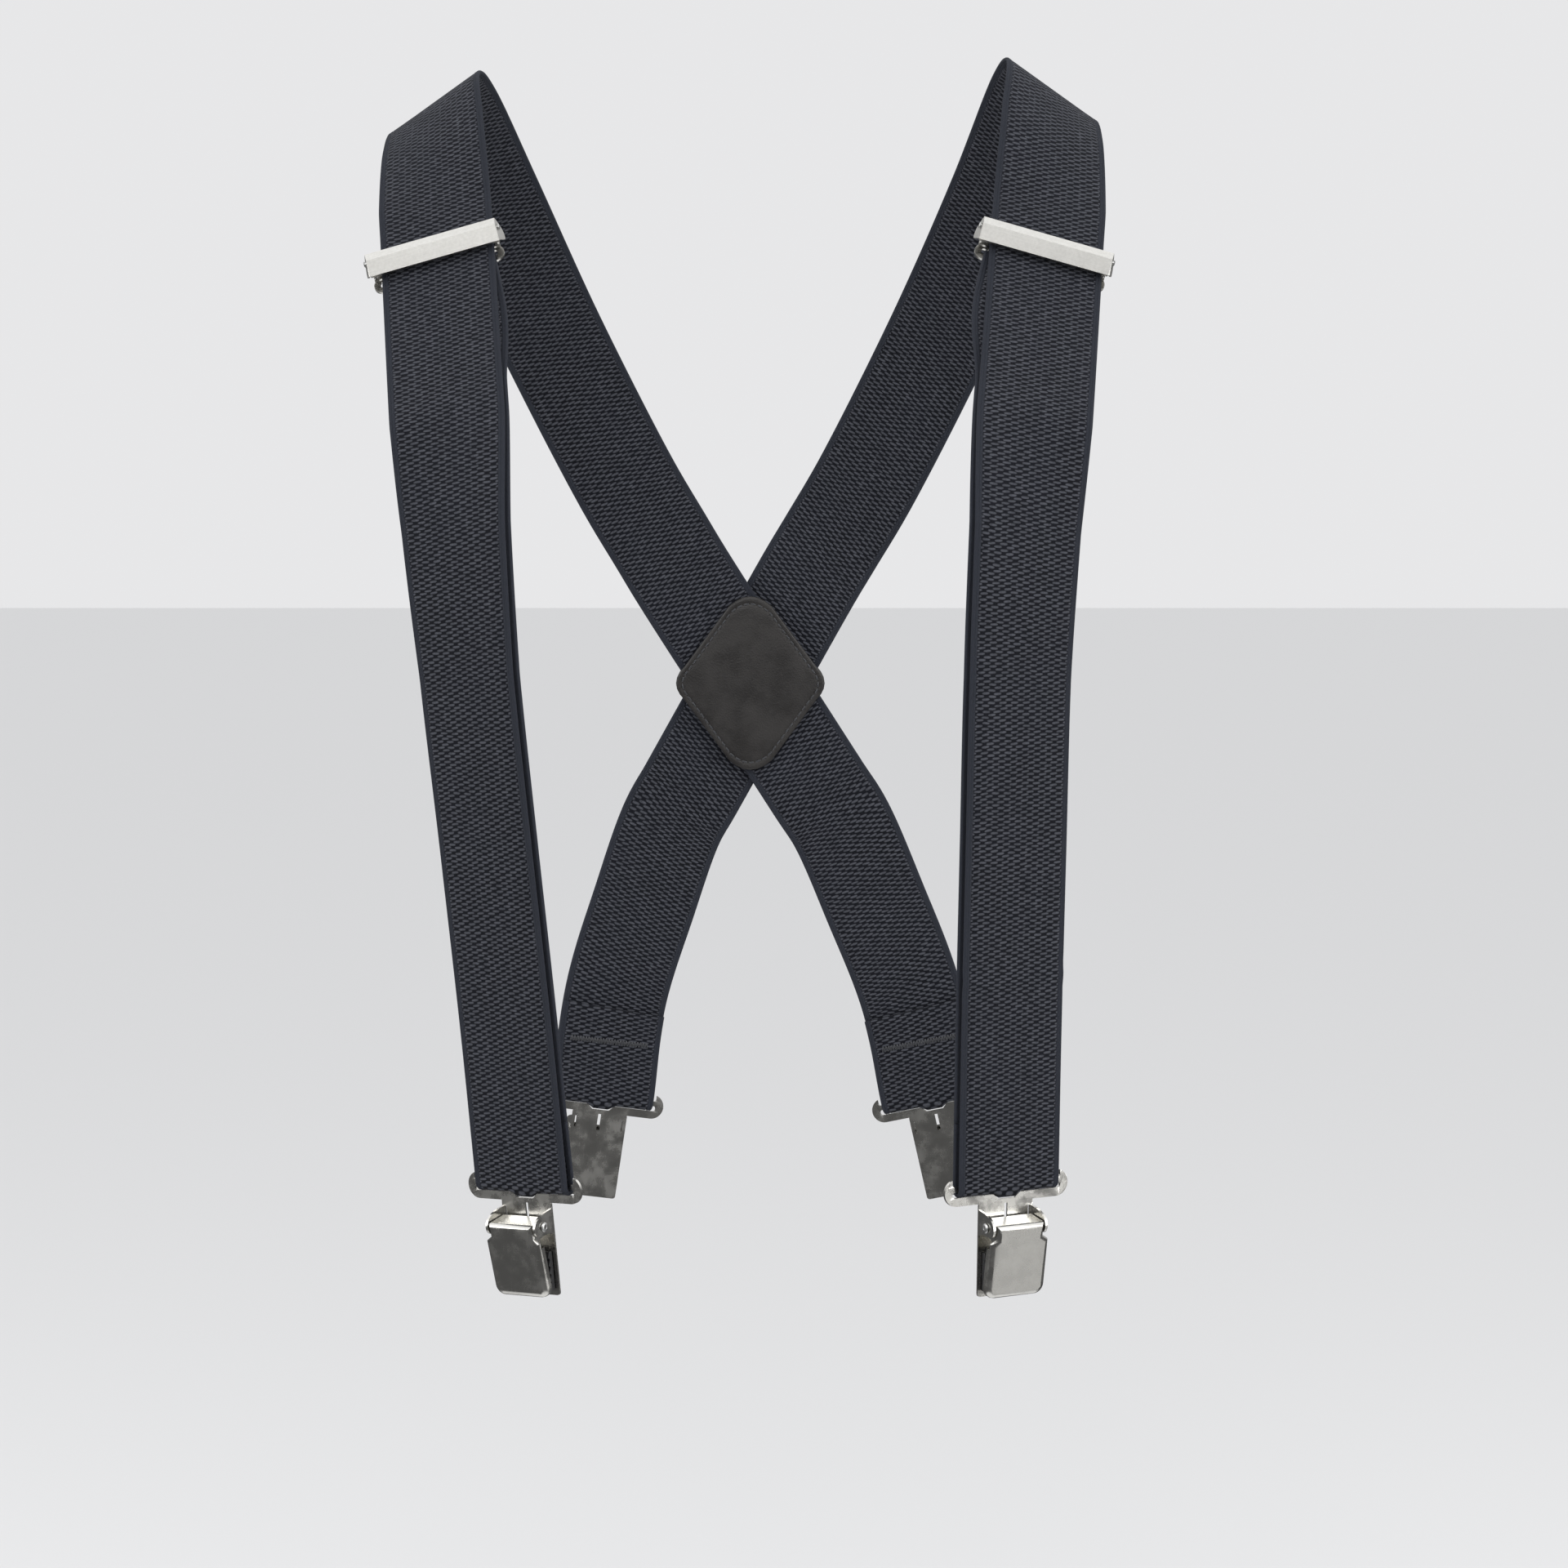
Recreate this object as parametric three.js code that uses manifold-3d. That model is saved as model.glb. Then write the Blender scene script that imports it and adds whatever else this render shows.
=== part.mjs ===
// Clip-on suspenders with wide elastic straps and a crossed back, at real size in millimetres.
// +Z is up and -Y is the wearer's front, so +X is the wearer's left. The origin lies midway between
// the two places where the straps cross the shoulders, and the suspenders hang from it as when worn.

import * as THREE from 'three';
import { mergeVertices } from 'three/addons/utils/BufferGeometryUtils.js';
import Module from 'manifold-3d';

const wasm = await Module();
wasm.setup();

// ---------------------------------------------------------------- driving dimensions
const GAP = 0.3; // between pieces that touch
const BEYOND = 50; // cutting shapes reach this far, which is clear of every piece they cut

const WEB_WIDTH = 44; // 45 mm elastic webbing, drawn in a little by its stretch
const WEB_THICKNESS = 1.6;
const STATION_SPACING = 11; // between the cross-sections of a strap
const LANE = 2.25; // from the front layer to the return layer behind it
const BUTT_HEIGHT = 25; // above the front ring, where the strap goes on as the return run
const REAR_TAIL = 38; // sewn end behind the rear ring
const RETURN_SHIFT = 1.2; // the return run lies this far towards the middle of the chest

const RING_WIDTH = 54;
const RING_TOP = 1;
const RING_BOTTOM = -9.3;
const SLOT_BOTTOM = -6.1;
const SLOT_WIDTH = 47.5;
const HANG_HEIGHT = -2.9; // of the narrow bar inside the ring that the webbing hangs on
const HANG_HALF = 1; // half the height of that bar
const CLIP_SHEET = 1.2; // the ring, thicker than the jaw that hangs from it
const JAW_SHEET = 0.8;
const SPRING_SLIT = { width: 1.4, bottom: -16.8, top: -9.9 }; // lets the jaw spring
const EAR_SLIT = { width: 0.7, bottom: -16.4, top: -11.6 }; // lets an ear bend forwards
const LOOP_RADIUS = 1.3 + WEB_THICKNESS / 2; // clears the ring's bar at every angle

const CLIP_HALF_WIDTH = 11.85;
const CLIP_BOTTOM = -45;
const EAR_SHEET = 1;
const EAR_SLIT_PLACE = CLIP_HALF_WIDTH - EAR_SHEET - EAR_SLIT.width; // beside the ear
const PIVOT_DEPTH = 5.8; // in front of the clip's sheet
const PIVOT_HEIGHT = -17.4;
const PIVOT_HOLE = 1.2;
const PIVOT_RADIUS = 1;

const LEVER_SHEET = 0.8;
const LEVER_BEND = 2; // outer radius of the lever's curled sides, top and bottom
const LEVER_RIM = 3.4; // how far the curled sides reach back
const LEVER_NECK = 10.25; // half width between the ears
const LEVER_HALF_WIDTH = 12.7;
const LEVER_DEPTH = 12.2;
const LEVER_TOP = -16.2;
const LEVER_LENGTH = 28.6;
const LEVER_LEAN = 8; // degrees, bottom towards the back jaw
const SHELF_BACK_DEPTH = 1.8;
const PAD_TOP = -28;
const PAD_BOTTOM = -42.6;
const PAD_HALF_WIDTH = 10.3;

const ADJUSTER_SKEW = 8; // degrees that the adjuster lies askew on the strap
const ADJUSTER_SHIFT = -1; // it also sits a little to the wearer's right of the strap's middle
const ADJUSTER_Z = -57.8; // height of its middle
const FRAME_EAR = 24.1; // half the width between the frame's two ears
const FRAME_EAR_SHEET = 0.7;
const FRAME_RING_HALF = 25.7;
const FRAME_RING_TOP = -0.8;
const FRAME_SHEET = 1.1;
const FRAME_SLOT_HALF = 23.2;
const FRAME_RAIL = 2.1; // height of the frame's upper bar, above the slot
const BACKING_FRONT = -1.2; // the plate behind the strap that the cover's foot presses it against
const BACKING_SHEET = 1;
const BACKING_TOP = 4.4;
const BACKING_BOTTOM = -2.8;
const BAR_DEPTH = -3.7; // the frame's lower bar, behind the strap, that the return run is sewn round
const BAR_HEIGHT = -6.6;
const BAR_HALF = 1.2; // half the height of that bar
const COVER_HALF_LENGTH = 25.4;
const COVER_SHEET = 0.7;
const COVER_PIVOT_DEPTH = 4.8;
const COVER_PIVOT_HEIGHT = 1.1;
const COVER_PIN_RADIUS = 0.75;
const COVER_HOLE = 1;
const COVER_FLARE = 11; // degrees that the cover's end flaps lean outwards

const CROSSING_Z = -232;
const CROSSING_Y = 118;
const CROSSING_LIFT = 1.2; // half the distance between the two straps where they cross
const PATCH_THICKNESS = 1.8;

const HIP_SHIFT = 8.9; // the wearer's hips stand to one side of the shoulders
const HIP_START_Z = -190;
const HIP_END_Z = -404;
const CHEST_TURN = 3.3; // degrees that the wearer's front is turned below the chest
const CHEST_START_Z = -130;
const CHEST_END_Z = -230;
const SHOULDER_RISE = 5; // the wearer's left shoulder is the higher one
const SHOULDER_START_Z = -38;

// The middle line of one strap, from the front ring over the shoulder to the rear ring, for the +X
// side: [x, y, z], the direction that the outer face looks in, and 1 where the two straps cross and
// one is lifted over the other. Heights -120 to -38 are straight, which is where the adjuster slides.
const ROUTE = [
  [[91.6, -106, -406.9], [0.53, -0.85, 0]],
  [[94.5, -108, -350], [0.53, -0.85, 0]],
  [[98.6, -112, -280], [0.53, -0.85, 0]],
  [[102.5, -115, -215], [0.52, -0.85, 0.02]],
  [[106.3, -111, -160], [0.42, -0.88, 0.2]],
  [[109.2, -98.8, -120], [0.16, -0.81, 0.56]],
  [[110.8, -88.4, -105], [0.16, -0.81, 0.56]],
  [[116.5, -50.4, -50], [0.16, -0.81, 0.56]],
  [[117.8, -42.1, -38], [0.16, -0.81, 0.56]],
  [[120.2, -20, -10.5], [0.42, -0.5, 0.76]],
  [[121, 2, 3], [0.57, -0.05, 0.82]],
  [[117.5, 26, -1], [0.52, 0.3, 0.8]],
  [[104, 64, -33], [0.36, 0.7, 0.61]],
  [[80, 96, -88], [0.22, 0.93, 0.3]],
  [[50, 113, -148], [0.06, 1, 0.06]],
  [[36, CROSSING_Y, -172], [0, 1, 0], 1],
  [[27, CROSSING_Y, -187], [0, 1, 0], 1],
  [[0, CROSSING_Y, CROSSING_Z], [0, 1, 0], 1],
  [[-27, CROSSING_Y, -277], [0, 1, 0], 1],
  [[-36, CROSSING_Y, -292], [0, 1, 0], 1],
  [[-49, 112.5, -325], [-0.1, 1, -0.05]],
  [[-62, 105, -362], [-0.2, 0.98, -0.05]],
  [[-70.5, 102, -406.9], [-0.26, 0.96, 0]],
];

// ---------------------------------------------------------------- materials
function metal(name, color, roughness) {
  return new THREE.MeshStandardMaterial({ name, color, roughness, metalness: 1 });
}

function dull(name, color, roughness) {
  return new THREE.MeshStandardMaterial({ name, color, roughness, metalness: 0 });
}

const NICKEL = metal('nickel plated steel', 0xb9b7b2, 0.25);
const COVER_NICKEL = metal('brushed nickel cover', 0xcdcbc4, 0.35);
const RIVET_STEEL = metal('rivet steel', 0xa8a8a4, 0.3);
const ELASTIC = dull('charcoal elastic', 0x2c2e36, 0.9);
const THREAD = dull('black thread', 0x17181c, 0.8);
const LEATHER = dull('black leather', 0x1f1c1b, 0.6);
const GRIP_PLASTIC = dull('grip plastic', 0x1a1a1c, 0.5);

// ---------------------------------------------------------------- helpers
const group = new THREE.Group();

function addMesh(parent, name, geometry, material) {
  const mesh = new THREE.Mesh(geometry, material);
  mesh.name = name;
  parent.add(mesh);
  return mesh;
}

function smoothstep(value) {
  return THREE.MathUtils.smoothstep(value, 0, 1);
}

// 0 above a height, 1 below a lower one and straight in between.
function rampDown(z, from, to) {
  return THREE.MathUtils.clamp((from - z) / (from - to), 0, 1);
}

function toManifold(geometry) {
  const bare = geometry.clone();
  bare.deleteAttribute('normal');
  bare.deleteAttribute('uv');
  const merged = mergeVertices(bare, 1e-4);
  return new wasm.Manifold(
    new wasm.Mesh({
      numProp: 3,
      vertProperties: new Float32Array(merged.attributes.position.array),
      triVerts: new Uint32Array(merged.index.array),
    }),
  );
}

function toGeometry(manifold) {
  const mesh = manifold.getMesh();
  const geometry = new THREE.BufferGeometry();
  geometry.setAttribute('position', new THREE.BufferAttribute(new Float32Array(mesh.vertProperties), 3));
  geometry.setIndex(new THREE.BufferAttribute(new Uint32Array(mesh.triVerts), 1));
  geometry.computeVertexNormals();
  return geometry;
}

function join(added, removed = []) {
  const body = added.map(toManifold).reduce((all, next) => all.add(next));
  return toGeometry(removed.map(toManifold).reduce((all, next) => all.subtract(next), body));
}

// A box between two corners.
function block(from, to) {
  const size = to.map((value, i) => Math.abs(value - from[i]));
  const middle = to.map((value, i) => (value + from[i]) / 2);
  return new THREE.BoxGeometry(...size).translate(...middle);
}

// A pin or hole along X between two places.
function pinAlongX(from, to, y, z, radius, sides = 20) {
  const pin = new THREE.CylinderGeometry(radius, radius, Math.abs(to - from), sides);
  return pin.rotateZ(Math.PI / 2).translate((from + to) / 2, y, z);
}

// A sheet whose outline is drawn in X and Z, from one depth in front of the XZ plane to another.
function frontSheet(shape, depth, thickness, curveSegments = 8) {
  const sheet = new THREE.ExtrudeGeometry(shape, { depth: thickness, bevelEnabled: false, curveSegments });
  return sheet.rotateX(Math.PI / 2).translate(0, -depth, 0);
}

// A sheet whose outline is drawn in depth and Z, from x to x + thickness.
function sideSheet(shape, x, thickness, curveSegments = 8) {
  const sheet = new THREE.ExtrudeGeometry(shape, { depth: thickness, bevelEnabled: false, curveSegments });
  const turn = new THREE.Matrix4().makeBasis(
    new THREE.Vector3(0, -1, 0),
    new THREE.Vector3(0, 0, 1),
    new THREE.Vector3(-1, 0, 0),
  );
  return sheet.applyMatrix4(turn).translate(x + thickness, 0, 0);
}

function polygon(points) {
  return new THREE.Shape(points.map(([x, y]) => new THREE.Vector2(x, y)));
}

function roundedRectangle(left, bottom, right, top, radius) {
  const shape = new THREE.Shape();
  shape.absarc(right - radius, bottom + radius, radius, -Math.PI / 2, 0);
  shape.absarc(right - radius, top - radius, radius, 0, Math.PI / 2);
  shape.absarc(left + radius, top - radius, radius, Math.PI / 2, Math.PI);
  shape.absarc(left + radius, bottom + radius, radius, Math.PI, Math.PI * 1.5);
  return shape;
}

// The axes of a piece of hardware: X across the strap, -Y out of its face, Z up along it.
function axesAt(position, face, up) {
  const y = face.clone().negate();
  const x = new THREE.Vector3().crossVectors(y, up).normalize();
  return new THREE.Matrix4().makeBasis(x, y, up.clone()).setPosition(position);
}

function groupAt(matrix) {
  const placed = new THREE.Group();
  placed.applyMatrix4(matrix);
  group.add(placed);
  return placed;
}

// ---------------------------------------------------------------- strap route
// One strap's middle line with the direction of its face, on the +X side (1) or the -X side (-1).
class StrapRoute {
  constructor(side) {
    this.side = side;
    const places = ROUTE.map(([[x, y, z], [faceX, faceY, faceZ], crossing = 0]) => {
      const sway = rampDown(z, HIP_START_Z, HIP_END_Z);
      const turn = y < 0 ? -CHEST_TURN * rampDown(z, CHEST_START_Z, CHEST_END_Z) : 0;
      const rise = side > 0 ? SHOULDER_RISE * smoothstep(1 - z / SHOULDER_START_Z) : 0;
      const lift = crossing * side * CROSSING_LIFT;
      const face = new THREE.Vector3(side * faceX, faceY, faceZ);
      face.applyAxisAngle(new THREE.Vector3(0, 0, 1), THREE.MathUtils.degToRad(turn));
      return { at: new THREE.Vector3(side * x + HIP_SHIFT * sway, y + lift, z + rise), face };
    });
    this.line = new THREE.CatmullRomCurve3(places.map((place) => place.at), false, 'centripetal');
    this.line.arcLengthDivisions = 1000;
    this.faces = places.map((place) => place.face);
    this.length = this.line.getLength();
  }

  // Position, direction of travel, face and across direction at a distance from the front ring.
  at(distance) {
    const u = THREE.MathUtils.clamp(distance / this.length, 0, 1);
    const t = this.line.getUtoTmapping(u);
    const along = this.line.getTangent(t);
    const steps = this.faces.length - 1;
    const step = Math.min(Math.floor(t * steps), steps - 1);
    const face = this.faces[step].clone().lerp(this.faces[step + 1], t * steps - step);
    face.addScaledVector(along, -face.dot(along)).normalize();
    return { at: this.line.getPoint(t), along, face, across: new THREE.Vector3().crossVectors(along, face) };
  }

  // How far from the front ring the front of the strap passes a height.
  distanceAtHeight(height) {
    let low = 0;
    let high = this.length / 2;
    for (let i = 0; i < 40; i += 1) {
      const middle = (low + high) / 2;
      if (this.at(middle).at.z < height) low = middle;
      else high = middle;
    }
    return low;
  }
}

// ---------------------------------------------------------------- webbing
// Corners of the webbing's cross-section in order round it, as [across, out of the face].
const SECTION = [[-1, -1], [0, -1], [1, -1], [1, 1], [0, 1], [-1, 1]];

// A closed strip through stations that each hold a middle point, an across and a face direction.
// Both faces split along the same diagonals, so that the strip keeps its thickness where it twists.
function webbing(stations) {
  const corners = stations.flatMap(({ at, across, face }) =>
    SECTION.map(([side, out]) =>
      at
        .clone()
        .addScaledVector(across, (side * WEB_WIDTH) / 2)
        .addScaledVector(face, (out * WEB_THICKNESS) / 2),
    ),
  );
  const count = SECTION.length;
  const last = (stations.length - 1) * count;
  const index = [];
  for (let k = 2; k < count; k += 1) {
    const next = (k + 1) % count;
    index.push(1, k, next, last + 1, last + next, last + k);
  }
  for (let i = 0; i < last; i += count) {
    for (let k = 0; k < count; k += 1) {
      const [a, b] = [i + k, i + ((k + 1) % count)];
      if (k % 3 === 0) index.push(b, a, a + count, b, a + count, b + count);
      else index.push(b, a, b + count, a, a + count, b + count);
    }
  }
  const geometry = new THREE.BufferGeometry().setFromPoints(corners);
  geometry.setIndex(index);
  geometry.computeVertexNormals();
  return geometry;
}

// Half a turn round a bar: out starts the turn, down is where the turn passes at its middle.
function halfTurn(centre, out, down, across, radius, steps = 8) {
  return Array.from({ length: steps + 1 }, (_, i) => {
    const angle = (Math.PI * i) / steps;
    const face = out.clone().multiplyScalar(Math.cos(angle)).addScaledVector(down, Math.sin(angle));
    return { at: centre.clone().addScaledVector(face, radius), across, face };
  });
}

function ringAxis(place) {
  return place.at.clone().addScaledVector(place.face, -LOOP_RADIUS);
}

// The layer behind the front run, at a distance above the front ring.
function returnLayer(route, distance) {
  const { at, along, face, across } = route.at(distance);
  const close = smoothstep(distance / 35);
  const behind = THREE.MathUtils.lerp(2 * LOOP_RADIUS, LANE, close);
  const inward = -route.side * RETURN_SHIFT * close;
  return {
    at: at.addScaledVector(face, -behind).addScaledVector(across, inward),
    along,
    across,
    face: face.negate(),
  };
}

// The sewn end behind the rear ring, at a distance above it.
function rearTail(route, distance) {
  const { at, face, across } = route.at(route.length - distance);
  const behind = THREE.MathUtils.lerp(2 * LOOP_RADIUS, WEB_THICKNESS + GAP, smoothstep(distance / 28));
  return { at: at.addScaledVector(face, -behind), across, face: face.negate() };
}

function spaced(from, to, spacing) {
  const steps = Math.max(1, Math.round(Math.abs(to - from) / spacing));
  return Array.from({ length: steps + 1 }, (_, i) => from + ((to - from) * i) / steps);
}

function mainStrap(route) {
  const front = route.at(0);
  const rear = route.at(route.length);
  const frontDown = front.along.clone().negate();
  return webbing([
    ...spaced(BUTT_HEIGHT, 5, 5).map((distance) => returnLayer(route, distance)),
    ...halfTurn(ringAxis(front), front.face, frontDown, front.across, LOOP_RADIUS).reverse(),
    ...spaced(4, route.length - 4, STATION_SPACING).map((distance) => route.at(distance)),
    ...halfTurn(ringAxis(rear), rear.face, rear.along, rear.across, LOOP_RADIUS),
    ...spaced(5, REAR_TAIL, 5.5).map((distance) => rearTail(route, distance)),
  ]);
}

// The folded end behind the adjuster's bar closes up to the return run towards its tip.
const FOLD_CENTRE_HEIGHT = BAR_HEIGHT + 0.9;
const FOLD_RADIUS = 0.7 + WEB_THICKNESS / 2;
const FOLD_LENGTH = 12;

function foldDepth(below) {
  const closed = WEB_THICKNESS + GAP - FOLD_RADIUS;
  return BAR_DEPTH - THREE.MathUtils.lerp(FOLD_RADIUS, closed, smoothstep(below / FOLD_LENGTH));
}

function returnRun(route, adjuster) {
  const place = (depth, height) => new THREE.Vector3(0, -depth, height).applyMatrix4(adjuster.matrix);
  const [across, inwardAxis, up] = [new THREE.Vector3(), new THREE.Vector3(), new THREE.Vector3()];
  adjuster.matrix.extractBasis(across, inwardAxis, up);
  const face = inwardAxis.clone().negate();
  const laneDepth = BAR_DEPTH + FOLD_RADIUS;
  const turnStart = adjuster.distance - 62;
  const turnLength = 42;
  const below = spaced(BUTT_HEIGHT + GAP, adjuster.distance - 20, STATION_SPACING).map((distance) => {
    const layer = returnLayer(route, distance);
    const turned = smoothstep((distance - turnStart) / turnLength);
    const aligned = place(laneDepth, distance - adjuster.distance);
    return {
      at: layer.at.lerp(aligned, turned),
      across: layer.across.lerp(across, turned).normalize(),
      face: layer.face.lerp(inwardAxis, turned).normalize(),
    };
  });
  const lane = [-14, FOLD_CENTRE_HEIGHT].map((height) => ({
    at: place(laneDepth, height),
    across,
    face: inwardAxis,
  }));
  const turn = halfTurn(place(BAR_DEPTH, FOLD_CENTRE_HEIGHT), face, up, across, FOLD_RADIUS).slice(1);
  const tail = spaced(3, FOLD_LENGTH, 3).map((distance) => ({
    at: place(foldDepth(distance), FOLD_CENTRE_HEIGHT - distance),
    across,
    face: inwardAxis,
  }));
  const flipped = (station) => ({ ...station, face: station.face.clone().negate() });
  return webbing([...below.map(flipped), ...lane.map(flipped), ...turn, ...tail]);
}

// ---------------------------------------------------------------- stitching
// A raised bar of thread across the webbing, lying on the body side of a sewn end.
function tack(across, up) {
  return block([-across / 2, 0, -up / 2], [across / 2, 0.5, up / 2]);
}

// ---------------------------------------------------------------- waistband clip
// Ring, neck, spring slit, back jaw and ears are one stamping.
function clipBody() {
  const ringHalf = RING_WIDTH / 2;
  const ring = roundedRectangle(-ringHalf, RING_BOTTOM, ringHalf, RING_TOP, (RING_TOP - RING_BOTTOM) / 2);
  const slotHalf = SLOT_WIDTH / 2;
  const slot = roundedRectangle(-slotHalf, SLOT_BOTTOM, slotHalf, HANG_HEIGHT - HANG_HALF, 1);
  const notch = roundedRectangle(-slotHalf, HANG_HEIGHT + HANG_HALF, slotHalf, RING_TOP + 3, 1);
  const dip = polygon([[-6.4, SLOT_BOTTOM + 0.6], [-3.6, -8.1], [3.6, -8.1], [6.4, SLOT_BOTTOM + 0.6]]);
  const jaw = roundedRectangle(-CLIP_HALF_WIDTH, CLIP_BOTTOM, CLIP_HALF_WIDTH, RING_BOTTOM + 0.6, 1.2);
  const half = CLIP_SHEET / 2;
  const cut = CLIP_SHEET + 2;
  const slit = (x, { width, bottom, top }) =>
    block([x - width / 2, -cut, bottom], [x + width / 2, cut, top]);
  return join(
    [
      frontSheet(ring, -half, CLIP_SHEET, 6),
      frontSheet(jaw, -half, JAW_SHEET, 3),
      sideSheet(earOutline(), -CLIP_HALF_WIDTH, EAR_SHEET),
      sideSheet(earOutline(), CLIP_HALF_WIDTH - EAR_SHEET, EAR_SHEET),
    ],
    [
      frontSheet(slot, -half - 1, cut, 5),
      frontSheet(notch, -half - 1, cut, 5),
      frontSheet(dip, -half - 1, cut),
      slit(0, SPRING_SLIT),
      slit(-EAR_SLIT_PLACE, EAR_SLIT),
      slit(EAR_SLIT_PLACE, EAR_SLIT),
      pinAlongX(-BEYOND, BEYOND, -PIVOT_DEPTH, PIVOT_HEIGHT, PIVOT_HOLE),
    ],
  );
}

// An ear in depth and height: rounded in front, with a pointed lower back corner.
function earOutline() {
  const shape = new THREE.Shape();
  shape.moveTo(-0.6, -11.5);
  shape.lineTo(3.4, -12.1);
  shape.quadraticCurveTo(11.1, -13.4, 11.1, -17.6);
  shape.quadraticCurveTo(11.1, -20.6, 7.6, -20.7);
  shape.lineTo(3.2, -20.4);
  shape.lineTo(-0.6, -21.6);
  return shape;
}

// Hollow rivet from outside one ear to inside the lever's flange, closed inside the bore's bottom.
function rivet(side) {
  const profile = [
    [0, 3.8],
    [PIVOT_RADIUS, 3.8],
    [PIVOT_RADIUS, 0],
    [1.9, 0],
    [1.9, -0.3],
    [1.4, -0.7],
    [0.6, -0.7],
    [0.5, 0.6],
    [0, 0.6],
  ].map(([radius, depth]) => new THREE.Vector2(radius, -depth));
  const turned = new THREE.LatheGeometry(profile, 18);
  const outside = CLIP_HALF_WIDTH + GAP;
  return turned.rotateZ((-side * Math.PI) / 2).translate(side * outside, -PIVOT_DEPTH, PIVOT_HEIGHT);
}

// Back jaw's ribbed grip, facing the lever.
function jawPad() {
  const ribs = 5;
  const pitch = (PAD_TOP - PAD_BOTTOM) / ribs;
  const base = JAW_SHEET - CLIP_SHEET / 2 + GAP;
  const points = [[base, PAD_TOP], [base, PAD_BOTTOM]];
  for (let i = 0; i < ribs; i += 1) {
    const low = PAD_BOTTOM + i * pitch;
    points.push([base + 1.6, low], [base + 2.5, low + pitch * 0.3], [base + 1.6, low + pitch]);
  }
  return sideSheet(polygon(dropRepeats(points)), -PAD_HALF_WIDTH, 2 * PAD_HALF_WIDTH);
}

function dropRepeats(points) {
  return points.filter(([x, y], i) => i === 0 || x !== points[i - 1][0] || y !== points[i - 1][1]);
}

// A dished sheet: the edges of its outline curl back all round, from a front face in the XZ plane.
function dished(shape, bend, sheet, rim) {
  const solid = (inset) => {
    const round = bend - inset;
    const body = new THREE.ExtrudeGeometry(shape, {
      depth: rim,
      bevelThickness: round,
      bevelSize: round,
      bevelOffset: -bend,
      bevelSegments: 3,
      curveSegments: 5,
    });
    return body.rotateX(Math.PI / 2).translate(0, rim + round + inset, 0);
  };
  return join([solid(0)], [solid(sheet), block([-BEYOND, rim, -BEYOND], [BEYOND, rim + BEYOND, BEYOND])]);
}

// The lever: a dished front plate with a narrow neck, a shelf over the pivot and two flanges. Beside
// the neck its rims are cut short, so that they swing past the clip's ears.
function lever() {
  const plate = new THREE.Shape();
  const corner = 4;
  const [shoulder, neckEnd] = [-6.7, -5.1];
  plate.moveTo(-LEVER_NECK, 0);
  plate.lineTo(-LEVER_NECK, neckEnd);
  plate.lineTo(-LEVER_HALF_WIDTH, shoulder);
  plate.absarc(-LEVER_HALF_WIDTH + corner, corner - LEVER_LENGTH, corner, Math.PI, Math.PI * 1.5);
  plate.absarc(LEVER_HALF_WIDTH - corner, corner - LEVER_LENGTH, corner, Math.PI * 1.5, Math.PI * 2);
  plate.lineTo(LEVER_HALF_WIDTH, shoulder);
  plate.lineTo(LEVER_NECK, neckEnd);
  plate.lineTo(LEVER_NECK, 0);
  const lean = THREE.MathUtils.degToRad(LEVER_LEAN);
  const [rimStart, roomBottom] = [1.6, -9];
  const earRoom = [-1, 1].map((side) =>
    block([side * LEVER_NECK, rimStart, roomBottom], [side * BEYOND, BEYOND, LEVER_BEND]),
  );
  const front = join([dished(plate, LEVER_BEND, LEVER_SHEET, LEVER_RIM)], earRoom);
  front.rotateX(lean).translate(0, -LEVER_DEPTH, LEVER_TOP);
  const topAt = (depth) => LEVER_TOP + (LEVER_DEPTH - depth) * Math.tan(lean);
  const shelfFront = LEVER_DEPTH - LEVER_BEND;
  const shelf = polygon([
    [shelfFront, topAt(shelfFront)],
    [SHELF_BACK_DEPTH, topAt(SHELF_BACK_DEPTH)],
    [SHELF_BACK_DEPTH, topAt(SHELF_BACK_DEPTH) - LEVER_SHEET],
    [shelfFront, topAt(shelfFront) - LEVER_SHEET],
  ]);
  const flange = polygon([
    [shelfFront, topAt(shelfFront) - 0.4],
    [SHELF_BACK_DEPTH + 1.4, topAt(SHELF_BACK_DEPTH) - 0.5],
    [3.2, -19.2],
    [5.6, -21.4],
    [8.6, -23.4],
    [shelfFront - 0.9, -23.4],
  ]);
  return join(
    [
      front,
      sideSheet(shelf, -LEVER_NECK, 2 * LEVER_NECK),
      sideSheet(flange, -LEVER_NECK, LEVER_SHEET),
      sideSheet(flange, LEVER_NECK - LEVER_SHEET, LEVER_SHEET),
    ],
    [pinAlongX(-BEYOND, BEYOND, -PIVOT_DEPTH, PIVOT_HEIGHT, PIVOT_HOLE)],
  );
}

// The lever's moulded insert, with teeth that face the back jaw.
function leverPad() {
  const teeth = 6;
  const pitch = (PAD_TOP - PAD_BOTTOM) / teeth;
  const slope = Math.tan(THREE.MathUtils.degToRad(LEVER_LEAN));
  const back = (height) => LEVER_DEPTH - LEVER_SHEET - 1.5 + (height - LEVER_TOP) * slope;
  const tip = 4.3;
  const points = [[back(PAD_BOTTOM), PAD_BOTTOM], [back(PAD_TOP), PAD_TOP]];
  for (let i = 0; i < teeth; i += 1) {
    const high = PAD_TOP - i * pitch;
    points.push([tip + 1.1, high], [tip, high - pitch * 0.6], [tip + 1.1, high - pitch]);
  }
  return sideSheet(polygon(dropRepeats(points)), -PAD_HALF_WIDTH, 2 * PAD_HALF_WIDTH);
}

const CLIP_BODY = clipBody();
const JAW_PAD = jawPad();
const LEVER = lever();
const LEVER_PAD = leverPad();
const RIVETS = { inner: rivet(-1), outer: rivet(1) };

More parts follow.
